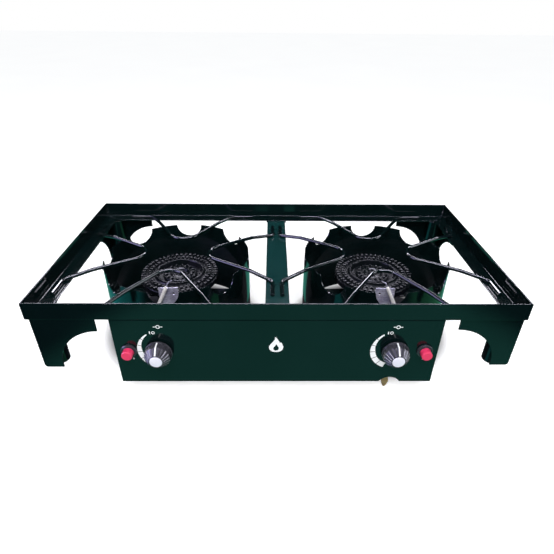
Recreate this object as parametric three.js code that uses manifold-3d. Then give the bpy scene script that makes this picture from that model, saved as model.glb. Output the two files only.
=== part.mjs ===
// A two-burner camping stove: a welded angle-iron frame with bent wire pot supports,
// two scalloped wind guards around cast-iron burners, and a control panel with knobs
// and push igniters. Millimetres, +Z up, +X to the right of someone facing the panel,
// +Y to the back. The origin is at the bottom centre of the whole stove.

import * as THREE from 'three';
import { mergeVertices } from 'three/addons/utils/BufferGeometryUtils.js';
import Module from 'manifold-3d';

const wasm = await Module();
wasm.setup();

// ---------------------------------------------------------------- driving dimensions

const GAP = 0.3; // clearance between pieces that touch on the real stove

const FRAME = { width: 780, depth: 400, height: 30.5, flange: 28, steel: 2 };
const BEAM = { width: 40, thick: 2.5 };
const PANEL = { width: 525, bottom: -161, steel: 1.5, setBack: 0.4, topLip: 22, sideLip: 14 };
const NOTCH = { x: 191, width: 35, rise: 10 };
const BRACKET = { insetX: 6, insetY: 1, reach: 100, tab: 54, foot: 31, bottom: -128.5, steel: 2 };
const SOCKET = { outer: 14, inner: 12.2, fromFront: 22, fromSide: 24 };

const BURNER_X = 191; // burners, guards, knobs and valves are all this far from the middle
const BURNER_Y = 200;
const WIRE = {
  radius: 3, reach: 61, frontReach: 69, tipBend: 63, tipDepth: 27, bend: 11,
  spread: 92, rail: 183, foot: 44, level: -20.2,
};
const GUARD = { outer: 137, steel: 1.5, top: -23.5, bottom: -172, scallops: 8, scallop: 26 };
const TUNNEL = { half: 28, top: -66 };
const STRAP = { width: 26, thick: 3, top: -110.3, turnUp: 20 };
const BURNER = { radius: 75, top: -60, deep: 20, boss: 22, bossDeep: 50 };
const GAS = { z: -93, manifoldY: 22, manifoldZ: -115, manifoldRadius: 6, inletBottom: -192 };
const TUBE = { front: 52, mouth: 19, throat: 9.5, end: 11, wall: 1.8 };
const KNOB = { back: -3.5, radius: 22.5, skirt: 3, side: -18, front: -27, cap: 10, flutes: 20 };
const IGNITER = { x: 240, z: -92.5, body: 9.9, bore: 9.05, button: 8.75, face: -15, nut: 13 };
const ELECTRODE = { y: 111, topX: 6, topZ: -41, lean: 25, length: 44, radius: 3.4 };

const KNOB_REACH = 28; // the knob caps stand this far in front of the frame

// ---------------------------------------------------------------- materials

const standard = (color, roughness, metalness) =>
  new THREE.MeshStandardMaterial({ color, roughness, metalness });

const enamel = () => standard(0x102a24, 0.22, 0.1);
const castIron = () => standard(0x2a2b2c, 0.75, 0.6);
const brass = () => standard(0xb09a5e, 0.35, 0.9);
const zinc = () => standard(0xb9bac4, 0.4, 0.85);
const blackPlastic = () => standard(0x15161b, 0.35, 0);
const ceramic = () => standard(0xf2ede2, 0.3, 0);

// ---------------------------------------------------------------- shape helpers

const stove = new THREE.Group();
// pieces are drawn from the front top edge of the frame, so the group moves them
// to put the origin at the bottom centre
stove.position.set(0, -(FRAME.depth - KNOB_REACH) / 2, -GAS.inletBottom);

/** Add one named piece to the stove. */
function piece(name, geometry, material) {
  const mesh = new THREE.Mesh(geometry, material);
  mesh.name = name;
  stove.add(mesh);
  return mesh;
}

/** A three.js geometry as a manifold solid. */
function solid(geometry) {
  const bare = geometry.clone();
  bare.deleteAttribute('normal');
  bare.deleteAttribute('uv');
  const merged = mergeVertices(bare, 1e-4);
  return new wasm.Manifold(new wasm.Mesh({
    numProp: 3,
    vertProperties: new Float32Array(merged.attributes.position.array),
    triVerts: new Uint32Array(merged.index.array),
  }));
}

/** A manifold solid back as a flat-shaded three.js geometry. */
function toGeometry(manifold) {
  const mesh = manifold.getMesh();
  const geometry = new THREE.BufferGeometry();
  geometry.setAttribute('position', new THREE.BufferAttribute(mesh.vertProperties, 3));
  geometry.setIndex(new THREE.BufferAttribute(mesh.triVerts, 1));
  const flat = geometry.toNonIndexed();
  flat.computeVertexNormals();
  return flat;
}

const join = (first, ...rest) =>
  toGeometry(rest.reduce((sum, part) => sum.add(solid(part)), solid(first)));

const cut = (body, ...tools) =>
  toGeometry(tools.reduce((left, tool) => left.subtract(solid(tool)), solid(body)));

/** A box between two corners. */
function box(low, high) {
  const [x0, y0, z0] = low;
  const [x1, y1, z1] = high;
  return new THREE.BoxGeometry(x1 - x0, y1 - y0, z1 - z0)
    .translate((x0 + x1) / 2, (y0 + y1) / 2, (z0 + z1) / 2);
}

/** A plan outline given as [x, y] points, raised from z0 to z1. */
function slab(points, z0, z1) {
  const shape = new THREE.Shape(points.map(([x, y]) => new THREE.Vector2(x, y)));
  return new THREE.ExtrudeGeometry(shape, { depth: z1 - z0, bevelEnabled: false })
    .translate(0, 0, z0);
}

/** A shape drawn in X and Z as an upright plate between y0 and y1. */
function plate(shape, y0, y1, curveSegments = 12) {
  return new THREE.ExtrudeGeometry(shape, { depth: y1 - y0, bevelEnabled: false, curveSegments })
    .rotateX(Math.PI / 2)
    .translate(0, y1, 0);
}

/** A round bar along Y between y0 and y1, centred on (x, z). */
function barY(radius, y0, y1, x, z, segments = 24) {
  return new THREE.CylinderGeometry(radius, radius, y1 - y0, segments)
    .translate(x, (y0 + y1) / 2, z);
}

/** A round bar along Z. */
function barZ(radius, z0, z1, x, y, segments = 24) {
  return new THREE.CylinderGeometry(radius, radius, z1 - z0, segments)
    .rotateX(Math.PI / 2)
    .translate(x, y, (z0 + z1) / 2);
}

/** A profile of [radius, y] points turned about an axis along Y through (x, z). */
function turnedY(profile, x, z, segments = 28) {
  return new THREE.LatheGeometry(profile.map(([r, y]) => new THREE.Vector2(r, y)), segments)
    .translate(x, 0, z);
}

/** A profile of [radius, z] points turned about a vertical axis through (x, y). */
function turnedZ(profile, x, y, segments = 28) {
  return new THREE.LatheGeometry(profile.map(([r, z]) => new THREE.Vector2(r, z)), segments)
    .rotateX(Math.PI / 2)
    .translate(x, y, 0);
}

/** A path through points, each corner but the ends' cut back by its own length and rounded. */
function roundedPath(points, cutBacks) {
  const path = new THREE.CurvePath();
  const corners = points.map(([x, y, z]) => new THREE.Vector3(x, y, z));
  let from = corners[0];
  for (let i = 1; i < corners.length - 1; i++) {
    const corner = corners[i];
    const cutBack = cutBacks[i - 1];
    const back = corners[i - 1].clone().sub(corner).setLength(cutBack).add(corner);
    const ahead = corners[i + 1].clone().sub(corner).setLength(cutBack).add(corner);
    path.add(new THREE.LineCurve3(from, back));
    path.add(new THREE.QuadraticBezierCurve3(back, corner, ahead));
    from = ahead;
  }
  path.add(new THREE.LineCurve3(from, corners[corners.length - 1]));
  return path;
}

/** A round bar that follows a path. */
function rod(path, radius, steps, sides = 8) {
  const ring = [];
  for (let i = 0; i < sides; i++) {
    const angle = (2 * Math.PI * i) / sides;
    ring.push(new THREE.Vector2(radius * Math.cos(angle), radius * Math.sin(angle)));
  }
  return new THREE.ExtrudeGeometry(new THREE.Shape(ring), { steps, extrudePath: path });
}

/** Turn a geometry by quarter turns about the vertical line through (x, y). */
function quarterTurns(geometry, turns, x, y) {
  return geometry.translate(-x, -y, 0).rotateZ((turns * Math.PI) / 2).translate(x, y, 0);
}

// ---------------------------------------------------------------- frame

/** One angle-section rail with mitred ends, drawn along the front and then turned. */
function mitredRail(length) {
  const half = length / 2 - GAP;
  const trapezoid = (width) => [[-half, 0], [half, 0], [half - width, width], [width - half, width]];
  const upright = slab(trapezoid(FRAME.steel), -FRAME.height, 0);
  const shelf = slab(trapezoid(FRAME.flange), -FRAME.height, FRAME.steel - FRAME.height);
  return join(upright, shelf);
}

function addFrame() {
  const { width, depth } = FRAME;
  piece('front_rail', mitredRail(width), enamel());
  piece('back_rail', mitredRail(width).rotateZ(Math.PI).translate(0, depth, 0), enamel());
  const left = mitredRail(depth).rotateZ(-Math.PI / 2).translate(-width / 2, depth / 2, 0);
  const right = mitredRail(depth).rotateZ(Math.PI / 2).translate(width / 2, depth / 2, 0);
  piece('left_rail', left, enamel());
  piece('right_rail', right, enamel());

  const top = -FRAME.height - GAP;
  const margin = FRAME.steel + 4;
  piece('centre_beam', box([-BEAM.width / 2, margin, top - BEAM.thick],
    [BEAM.width / 2, depth - margin, top]), enamel());
}

/** The flat outline of one wing of a corner bracket, from the corner at u = 0. */
function bracketOutline() {
  const { reach, tab, foot, bottom } = BRACKET;
  const top = -FRAME.height - GAP;
  const sweep = reach - foot;
  const corner = 6;
  const shape = new THREE.Shape();
  shape.moveTo(0, top);
  shape.lineTo(0, bottom + corner);
  shape.quadraticCurveTo(0, bottom, corner, bottom);
  shape.lineTo(foot, bottom);
  shape.lineTo(foot, -tab - sweep);
  shape.absarc(reach, -tab - sweep, sweep, Math.PI, Math.PI / 2, true);
  shape.lineTo(reach, top);
  shape.closePath();
  return shape;
}

/** A bent corner bracket, drawn at the front left and turned to its corner, and its socket. */
function addLegMount(name, right, back) {
  const { insetX, insetY, steel, bottom } = BRACKET;
  const wing = plate(bracketOutline(), 0, steel, 20);
  const sideWing = wing.clone().rotateZ(Math.PI / 2).translate(steel, 0, 0);
  const bracket = join(wing, sideWing).translate(insetX - FRAME.width / 2, insetY, 0);
  const turns = back ? 3 - Number(right) : Number(right);
  piece(`${name}_leg_bracket`, placeAtCorner(bracket, turns), enamel());

  const socketX = (right ? 1 : -1) * (FRAME.width / 2 - SOCKET.fromSide);
  const socketY = back ? FRAME.depth - SOCKET.fromFront : SOCKET.fromFront;
  const top = -FRAME.height - GAP;
  const ring = [
    [SOCKET.inner, bottom], [SOCKET.outer, bottom],
    [SOCKET.outer, top], [SOCKET.inner, top], [SOCKET.inner, bottom],
  ];
  piece(`${name}_leg_socket`, turnedZ(ring, socketX, socketY, 24), enamel());
}

/** Move a front-left corner piece to another corner of the frame. */
function placeAtCorner(geometry, turns) {
  const { width, depth } = FRAME;
  const quarter = geometry.translate(width / 2, 0, 0).rotateZ((turns * Math.PI) / 2);
  const [x, y] = [[-width / 2, 0], [width / 2, 0], [width / 2, depth], [-width / 2, depth]][turns];
  return quarter.translate(x, y, 0);
}

function addLegMounts() {
  for (const back of [false, true]) {
    for (const right of [false, true]) {
      addLegMount(`${back ? 'back' : 'front'}_${right ? 'right' : 'left'}`, right, back);
    }
  }
}

// ---------------------------------------------------------------- pot supports and guards

/** One bent wire: two feet along a rail, and two arms meeting in a blunt V over the burner. */
function potSupport(centreX, turns, footZ, reach = WIRE.reach) {
  const { tipBend, tipDepth, bend, spread, rail, foot, level, radius } = WIRE;
  const tip = reach - tipDepth;
  const shoulder = rail - 42;
  const spreadAt = (r) => (spread * (r - tip)) / (rail - tip);
  const arm = (side) => [
    [rail, side * (spread + foot), footZ],
    [rail, side * spread, footZ],
    [shoulder, side * spreadAt(shoulder), level],
  ];
  const points = [...arm(-1), [tip, 0, level], ...arm(1).reverse()];
  const wire = rod(roundedPath(points, [bend, bend, tipBend, bend, bend]), radius, 50, 6);
  return quarterTurns(wire.translate(centreX, BURNER_Y, 0), turns, centreX, BURNER_Y);
}

function addPotSupports(side, sign) {
  const railZ = FRAME.steel - FRAME.height + WIRE.radius + GAP;
  const beamZ = -FRAME.height - GAP + WIRE.radius + GAP;
  const outward = sign > 0 ? 0 : 2;
  const x = sign * BURNER_X;
  piece(`${side}_outer_wire`, potSupport(x, outward, railZ), enamel());
  piece(`${side}_inner_wire`, potSupport(x, 2 - outward, beamZ), enamel());
  piece(`${side}_back_wire`, potSupport(x, 1, railZ), enamel());
  piece(`${side}_front_wire`, potSupport(x, 3, railZ, WIRE.frontReach), enamel());
}

function addWindGuard(side, x) {
  const { outer, steel, top, bottom, scallops, scallop } = GUARD;
  const inner = outer - steel;
  const wall = turnedZ([
    [inner, bottom], [outer, bottom], [outer, top], [inner, top], [inner, bottom],
  ], 0, 0, 64);
  const tools = [];
  for (let i = 0; i < scallops / 2; i++) {
    tools.push(barY(scallop, -outer - 5, outer + 5, 0, top, 24)
      .rotateZ((2 * Math.PI * i) / scallops));
  }
  tools.push(box([-TUNNEL.half, -outer - 5, bottom - 5], [TUNNEL.half, -outer + 40, TUNNEL.top - 20]));
  tools.push(barY(TUNNEL.half, -outer - 5, -outer + 40, 0, TUNNEL.top - TUNNEL.half, 24));
  piece(`${side}_wind_guard`, cut(wall, ...tools).translate(x, BURNER_Y, 0), enamel());

  const half = inner - GAP - 1;
  const under = STRAP.top - STRAP.thick;
  piece(`${side}_burner_strap`, join(
    box([-half, -STRAP.width / 2, under], [half, STRAP.width / 2, STRAP.top]),
    box([-half, -STRAP.width / 2, under], [STRAP.thick - half, STRAP.width / 2, under + STRAP.turnUp]),
    box([half - STRAP.thick, -STRAP.width / 2, under], [half, STRAP.width / 2, under + STRAP.turnUp]),
  ).translate(x, BURNER_Y, 0), enamel());
}

// ---------------------------------------------------------------- burners and gas train

function addBurner(side, x) {
  const { radius, top, deep, boss, bossDeep } = BURNER;
  piece(`${side}_burner`, turnedZ([
    [0, top - bossDeep], [boss, top - bossDeep], [boss, top - deep], [radius - 4, top - deep],
    [radius, top - deep + 4], [radius, top - 7], [radius - 7, top], [radius - 16, top],
    [radius - 21, top - 8], [46, top - 10], [42, top - 3], [27, top - 3], [22, top - 10],
    [0, top - 10],
  ], x, BURNER_Y, 36), castIron());

  const { front, mouth, throat, end, wall } = TUBE;
  const back = BURNER_Y - boss - GAP;
  const tube = turnedY([
    [8, front], [mouth, front], [mouth, front + 8], [throat, front + 28], [end, back],
    [end - wall, back], [throat - wall, front + 28], [mouth - wall, front + 8],
    [mouth - wall, front + wall], [8, front + wall], [8, front],
  ], 0, 0, 24);
  piece(`${side}_mixing_tube`, cut(tube, ...airWindows()).translate(x, 0, GAS.z), castIron());

  addAirShutter(side, x);
  piece(`${side}_jet`, turnedY([
    [0, 40.3], [6, 40.3], [6, 44], [3.5, 46], [3.5, 56], [1.6, 59], [0, 59],
  ], x, GAS.z, 12), brass());
}

/** Two blocks, one either side of the axis, that cut the windows air is drawn through. */
function airWindows() {
  const { front } = TUBE;
  return [1, -1].map((way) => box([-5, front - 5, 9.5], [5, front + 4, 16.5])
    .rotateY((way * Math.PI) / 2));
}

/** A cap that turns on the mixing tube's mouth and covers or clears its air windows. */
function addAirShutter(side, x) {
  const { front, mouth } = TUBE;
  const [hub, skirt, face] = [7, mouth + GAP, front - GAP];
  const cap = turnedY([
    [hub, face - 1.5], [skirt + 1.5, face - 1.5], [skirt + 1.5, front + 6], [skirt, front + 6],
    [skirt, face], [hub, face], [hub, face - 1.5],
  ], 0, 0, 24);
  piece(`${side}_air_shutter`, cut(cap, ...airWindows()).translate(x, 0, GAS.z), zinc());
}

function addValve(side, x) {
  const { z, manifoldZ, manifoldRadius } = GAS;
  const front = PANEL.setBack + PANEL.steel + GAP;
  const stemBore = 3.3;
  const body = turnedY([
    [stemBore, front], [9, front], [9, 9], [11, 10], [11, 32], [8, 34], [8, 40],
    [0, 40], [0, 15], [stemBore, 15], [stemBore, front],
  ], x, z, 20);
  const boss = barZ(6, manifoldZ + manifoldRadius + GAP, z, x, GAS.manifoldY, 20);
  piece(`${side}_valve`, join(body, boss), brass());
  piece(`${side}_valve_stem`, barY(3, -20, 14.5, x, z, 14), brass());
}

function addGasPipe() {
  const { manifoldY, manifoldZ, manifoldRadius, inletBottom } = GAS;
  const pipe = new THREE.CylinderGeometry(manifoldRadius, manifoldRadius, 2 * BURNER_X + 24, 20)
    .rotateZ(Math.PI / 2)
    .translate(0, manifoldY, manifoldZ);
  piece('manifold_pipe', pipe, zinc());

  const top = manifoldZ - manifoldRadius - GAP;
  const hexHeight = 12;
  const stub = turnedZ([
    [0, inletBottom], [2.6, inletBottom], [5, inletBottom + 6], [5, inletBottom + 10],
    [6.4, inletBottom + 11], [6.4, inletBottom + 15], [5, inletBottom + 16],
    [5, top - hexHeight + 2], [0, top - hexHeight + 2],
  ], NOTCH.x, manifoldY, 20);
  const hex = barZ(8.5, top - hexHeight, top, NOTCH.x, manifoldY, 6);
  piece('gas_inlet', join(stub, hex), brass());

  // a saddle under the pipe, bent up from behind the panel
  const face = PANEL.setBack + PANEL.steel + GAP;
  const seat = manifoldZ - manifoldRadius - GAP;
  piece('pipe_bracket', join(
    box([-12, face, seat - 24], [12, face + 2, seat]),
    box([-12, face, seat - 2], [12, manifoldY + 8, seat]),
  ), zinc());
}

// ---------------------------------------------------------------- control panel

function addPanel() {
  const { width, bottom, steel, setBack, topLip, sideLip } = PANEL;
  const half = width / 2;
  const top = -FRAME.height - GAP;
  const back = setBack + steel;
  const beamGap = BEAM.width / 2 + 2;
  const sheet = join(
    box([-half, setBack, bottom], [half, back, top]),
    box([-half, setBack, top - steel], [-beamGap, topLip, top]),
    box([beamGap, setBack, top - steel], [half, topLip, top]),
    box([-half, setBack, bottom], [steel - half, sideLip, top]),
    box([half - steel, setBack, bottom], [half, sideLip, top]),
  );
  const notchRadius = (NOTCH.width ** 2 / 4 + NOTCH.rise ** 2) / (2 * NOTCH.rise);
  const holes = [barY(notchRadius, -5, 8, NOTCH.x, bottom + NOTCH.rise - notchRadius, 48)];
  for (const sign of [-1, 1]) {
    holes.push(barY(5, -5, 8, sign * BURNER_X, GAS.z, 20));
    holes.push(barY(IGNITER.body + GAP, -5, 8, sign * IGNITER.x, IGNITER.z, 24));
  }
  piece('control_panel', cut(sheet, ...holes), enamel());
}

/** The fluted outline of a knob's grip. */
function flutedShape(radius, depth, flutes) {
  const points = [];
  const steps = flutes * 4;
  for (let i = 0; i < steps; i++) {
    const angle = (2 * Math.PI * i) / steps;
    const r = radius - (depth * (1 - Math.cos(angle * flutes))) / 2;
    points.push(new THREE.Vector2(r * Math.cos(angle), r * Math.sin(angle)));
  }
  return new THREE.Shape(points);
}

function addKnob(side, x) {
  const { back, radius, skirt, side: sideEnd, front, cap, flutes } = KNOB;
  const grip = plate(flutedShape(radius - 1, 1.2, flutes), sideEnd, back - skirt / 2);
  const bore = 3.3;
  const recess = cap + GAP;
  const core = turnedY([
    [bore, -20.5], [bore, back], [radius, back], [radius, back - skirt], [radius - 3, back - skirt],
    [radius - 3, sideEnd], [recess + 2, front], [recess, front], [recess, front + 2], [0, front + 2],
    [0, -20.5], [bore, -20.5],
  ].reverse(), 0, 0, 40);
  const shaped = solid(core).add(solid(grip)
    .subtract(solid(barY(bore + 4, -30, 5, 0, 0, 20))));
  piece(`${side}_knob`, toGeometry(shaped).translate(x, 0, GAS.z), blackPlastic());
  piece(`${side}_knob_cap`, barY(cap, -KNOB_REACH, front + 2 - GAP, x, GAS.z, 32), zinc());
}

function addIgniter(side, sign) {
  const { x: away, z, body, bore, button, face, nut } = IGNITER;
  const x = sign * away;
  piece(`${side}_igniter_body`, turnedY([
    [bore, -4], [body, -4], [body, 36], [3, 36], [3, 42], [0, 42], [0, 14], [bore, 14], [bore, -4],
  ], x, z, 24), blackPlastic());
  piece(`${side}_igniter_nut`, turnedY([
    [body + GAP, PANEL.setBack - GAP - 4], [nut - 1, PANEL.setBack - GAP - 4],
    [nut, PANEL.setBack - GAP - 3], [nut, PANEL.setBack - GAP],
    [body + GAP, PANEL.setBack - GAP], [body + GAP, PANEL.setBack - GAP - 4],
  ], x, z, 24), blackPlastic());
  piece(`${side}_igniter_button`, turnedY([
    [0, face], [button - 1.5, face], [button, face + 1.5], [button, 3], [3, 3], [3, 7], [0, 7],
  ], x, z, 24), standard(0xd0142c, 0.3, 0));
}

/** The spark electrode on its plate in front of a burner, and its lead to the igniter. */
function addElectrode(side, sign) {
  const { y, topX, topZ, lean, length, radius } = ELECTRODE;
  const x = sign * BURNER_X;
  const front = y + radius + GAP + 0.2;
  const under = BURNER.top - BURNER.deep - GAP;
  const upright = cut(
    box([-13, front, under - 1.5], [22, front + 1.5, -46]),
    barY(2.5, front - 2, front + 4, -5, -58, 12),
  );
  const foot = box([-8, front, under - 1.5], [8, 140, under]);
  const bracket = join(upright, foot);
  piece(`${side}_electrode_bracket`, mirrored(bracket, sign).translate(x, 0, 0), zinc());

  const tilt = THREE.MathUtils.degToRad(lean);
  const sleeve = new THREE.LatheGeometry([
    [0, -length], [radius - 0.6, -length], [radius, -length + 1], [radius, -4],
    [radius - 1, 0], [0, 0],
  ].map(([r, h]) => new THREE.Vector2(r, h)), 16)
    .rotateX(Math.PI / 2)
    .rotateY(-tilt)
    .translate(topX, y, topZ);
  piece(`${side}_electrode`, mirrored(sleeve, sign).translate(x, 0, 0), ceramic());

  const tip = rod(roundedPath([
    [topX - 0.3, y, topZ + GAP + 0.2], [topX - 4, y, topZ + 9], [topX - 8, y + 12, topZ + 5],
  ], [3]), 0.9, 12, 6);
  piece(`${side}_spark_tip`, mirrored(tip, sign).translate(x, 0, 0), zinc());

  const reach = length + 1;
  const start = [topX + Math.sin(tilt) * reach, y, topZ - Math.cos(tilt) * reach];
  const lead = new THREE.CatmullRomCurve3([
    new THREE.Vector3(...start),
    new THREE.Vector3(start[0] + 3, y - 3, start[2] - 12),
    new THREE.Vector3(22, 86, -112),
    new THREE.Vector3(20, 62, -115),
    new THREE.Vector3(33, 50, -106),
    new THREE.Vector3(IGNITER.x - BURNER_X - 2, 53, IGNITER.z - 3),
    new THREE.Vector3(IGNITER.x - BURNER_X, 42.4, IGNITER.z),
  ]);
  piece(`${side}_ignition_lead`, mirrored(rod(lead, 1.5, 26, 6), sign).translate(x, 0, 0),
    standard(0x8a2f1c, 0.5, 0));
}

/** A geometry mirrored in X for the left side, with its faces kept outward. */
function mirrored(geometry, sign) {
  if (sign > 0) {
    return geometry;
  }
  const flipped = solid(geometry).mirror([1, 0, 0]);
  return toGeometry(flipped);
}

// ---------------------------------------------------------------- assembly

addFrame();
addLegMounts();
addPanel();
addGasPipe();
for (const [side, sign] of [['left', -1], ['right', 1]]) {
  const x = sign * BURNER_X;
  addPotSupports(side, sign);
  addWindGuard(side, x);
  addBurner(side, x);
  addValve(side, x);
  addKnob(side, x);
  addIgniter(side, sign);
  addElectrode(side, sign);
}

export default new THREE.Group().add(stove);
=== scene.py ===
"""The finished look of a two-burner camping stove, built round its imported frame.

Sizes are in millimetres and are drawn from the middle of the front rail's top edge:
x to the right, y to the back and z up, so heights below that edge are negative.
"""

import logging
import math
from collections.abc import Callable, Iterator, Sequence
from contextlib import contextmanager
from dataclasses import dataclass, field
from enum import Enum

import bmesh
import bpy
from mathutils import Matrix, Vector


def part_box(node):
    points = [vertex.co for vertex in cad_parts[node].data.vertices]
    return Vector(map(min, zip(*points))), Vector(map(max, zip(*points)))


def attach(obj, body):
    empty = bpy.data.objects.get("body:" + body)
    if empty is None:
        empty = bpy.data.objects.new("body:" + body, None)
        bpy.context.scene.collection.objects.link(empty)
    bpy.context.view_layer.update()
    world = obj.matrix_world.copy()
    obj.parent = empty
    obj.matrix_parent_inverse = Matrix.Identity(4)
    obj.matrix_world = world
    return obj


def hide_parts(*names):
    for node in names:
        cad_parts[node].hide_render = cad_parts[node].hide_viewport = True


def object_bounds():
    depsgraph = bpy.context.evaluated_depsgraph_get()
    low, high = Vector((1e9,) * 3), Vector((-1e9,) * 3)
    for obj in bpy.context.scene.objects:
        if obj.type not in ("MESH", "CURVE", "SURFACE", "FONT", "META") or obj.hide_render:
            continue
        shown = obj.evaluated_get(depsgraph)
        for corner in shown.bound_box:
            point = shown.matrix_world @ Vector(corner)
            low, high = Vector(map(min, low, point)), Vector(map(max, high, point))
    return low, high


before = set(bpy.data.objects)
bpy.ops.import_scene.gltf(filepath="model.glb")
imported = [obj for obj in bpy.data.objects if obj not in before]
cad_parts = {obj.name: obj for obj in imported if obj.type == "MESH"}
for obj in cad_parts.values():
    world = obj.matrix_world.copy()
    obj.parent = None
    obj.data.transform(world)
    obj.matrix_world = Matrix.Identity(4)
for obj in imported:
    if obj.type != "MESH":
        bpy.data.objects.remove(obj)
CAD_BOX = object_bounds()

LOG = logging.getLogger("camping_stove")
MM = 0.001
TINY = 1e-6  # metres: vertices nearer than this are one
FLAT = 0.5  # degrees: faces that meet at less than this are one
Colour = tuple[float, float, float, float]
Span = tuple[float, float]
Inputs = dict[str, object]
Socket = bpy.types.NodeSocket
Corner = tuple[float, ...]
Test = Callable[[Vector, Vector], bool]


class Way(Enum):
    """The three directions of the stove."""

    X = (1.0, 0.0, 0.0)
    Y = (0.0, 1.0, 0.0)
    Z = (0.0, 0.0, 1.0)

    @property
    def vector(self) -> Vector:
        """The direction as a vector."""
        return Vector(self.value)


class Side(Enum):
    """The two halves of the stove, by the sign of x."""

    LEFT = -1
    RIGHT = 1

    @property
    def word(self) -> str:
        """The side's name as the nodes use it."""
        return self.name.lower()


def datum() -> Vector:
    """The middle of the front rail's top edge, from which everything is drawn."""
    low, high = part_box("front_rail")
    return Vector(((low.x + high.x) / 2, low.y, high.z))


DATUM = datum()


def at(x: float, y: float, z: float) -> Vector:
    """A point of the drawing, in millimetres, as a place in metres."""
    return DATUM + Vector((x, y, z)) * MM


def middle(node: str) -> Vector:
    """The middle of a node in the drawing, in millimetres."""
    low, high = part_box(node)
    return ((low + high) / 2 - DATUM) / MM


def seat(node: str, y: float | None = None, z: float = 0.0) -> Matrix:
    """The move from the origin to a node's x and y, or to another y, at a height."""
    centre = middle(node)
    return Matrix.Translation(at(centre.x, centre.y if y is None else y, z))


def eased(corners: Sequence[Corner], radius: float, steps: int = 4) -> list[tuple[float, float]]:
    """Round the corners of a profile.

    Args:
        corners: Points (across, along), or (across, along, radius) for one with its own radius.
        radius: The radius of the other corners, in millimetres.
        steps: The number of runs in each rounded corner.

    Returns:
        The rounded profile's points. A profile that ends where it starts stays closed.
    """
    closed = tuple(corners[0][:2]) == tuple(corners[-1][:2])
    ring = list(corners[:-1]) if closed else list(corners)
    points: list[tuple[float, float]] = []
    for index, corner in enumerate(ring):
        here = Vector(corner[:2])
        own = corner[2] if len(corner) > 2 else radius
        if own <= 0 or (not closed and index in (0, len(ring) - 1)):
            points.append(tuple(here))
            continue
        before = Vector(ring[index - 1][:2]) - here
        after = Vector(ring[(index + 1) % len(ring)][:2]) - here
        bend = before.angle(after)
        reach = min(own / math.tan(bend / 2), before.length * 0.48, after.length * 0.48)
        start = here + before.normalized() * reach
        end = here + after.normalized() * reach
        for step in range(steps + 1):
            t = step / steps
            points.append(tuple(start * (1 - t) ** 2 + here * 2 * t * (1 - t) + end * t * t))
    if closed:
        points.append(points[0])
    return points


# ---------------------------------------------------------------- modelling


def focus(*things: bpy.types.Object) -> None:
    """Select these objects and nothing else, the first one active."""
    bpy.ops.object.select_all(action="DESELECT")
    for thing in things:
        thing.select_set(True)
    bpy.context.view_layer.objects.active = things[0]


def linked(name: str, data: bpy.types.ID) -> bpy.types.Object:
    """Put an object with this data into the scene."""
    thing = bpy.data.objects.new(name, data)
    bpy.context.scene.collection.objects.link(thing)
    return thing


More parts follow.
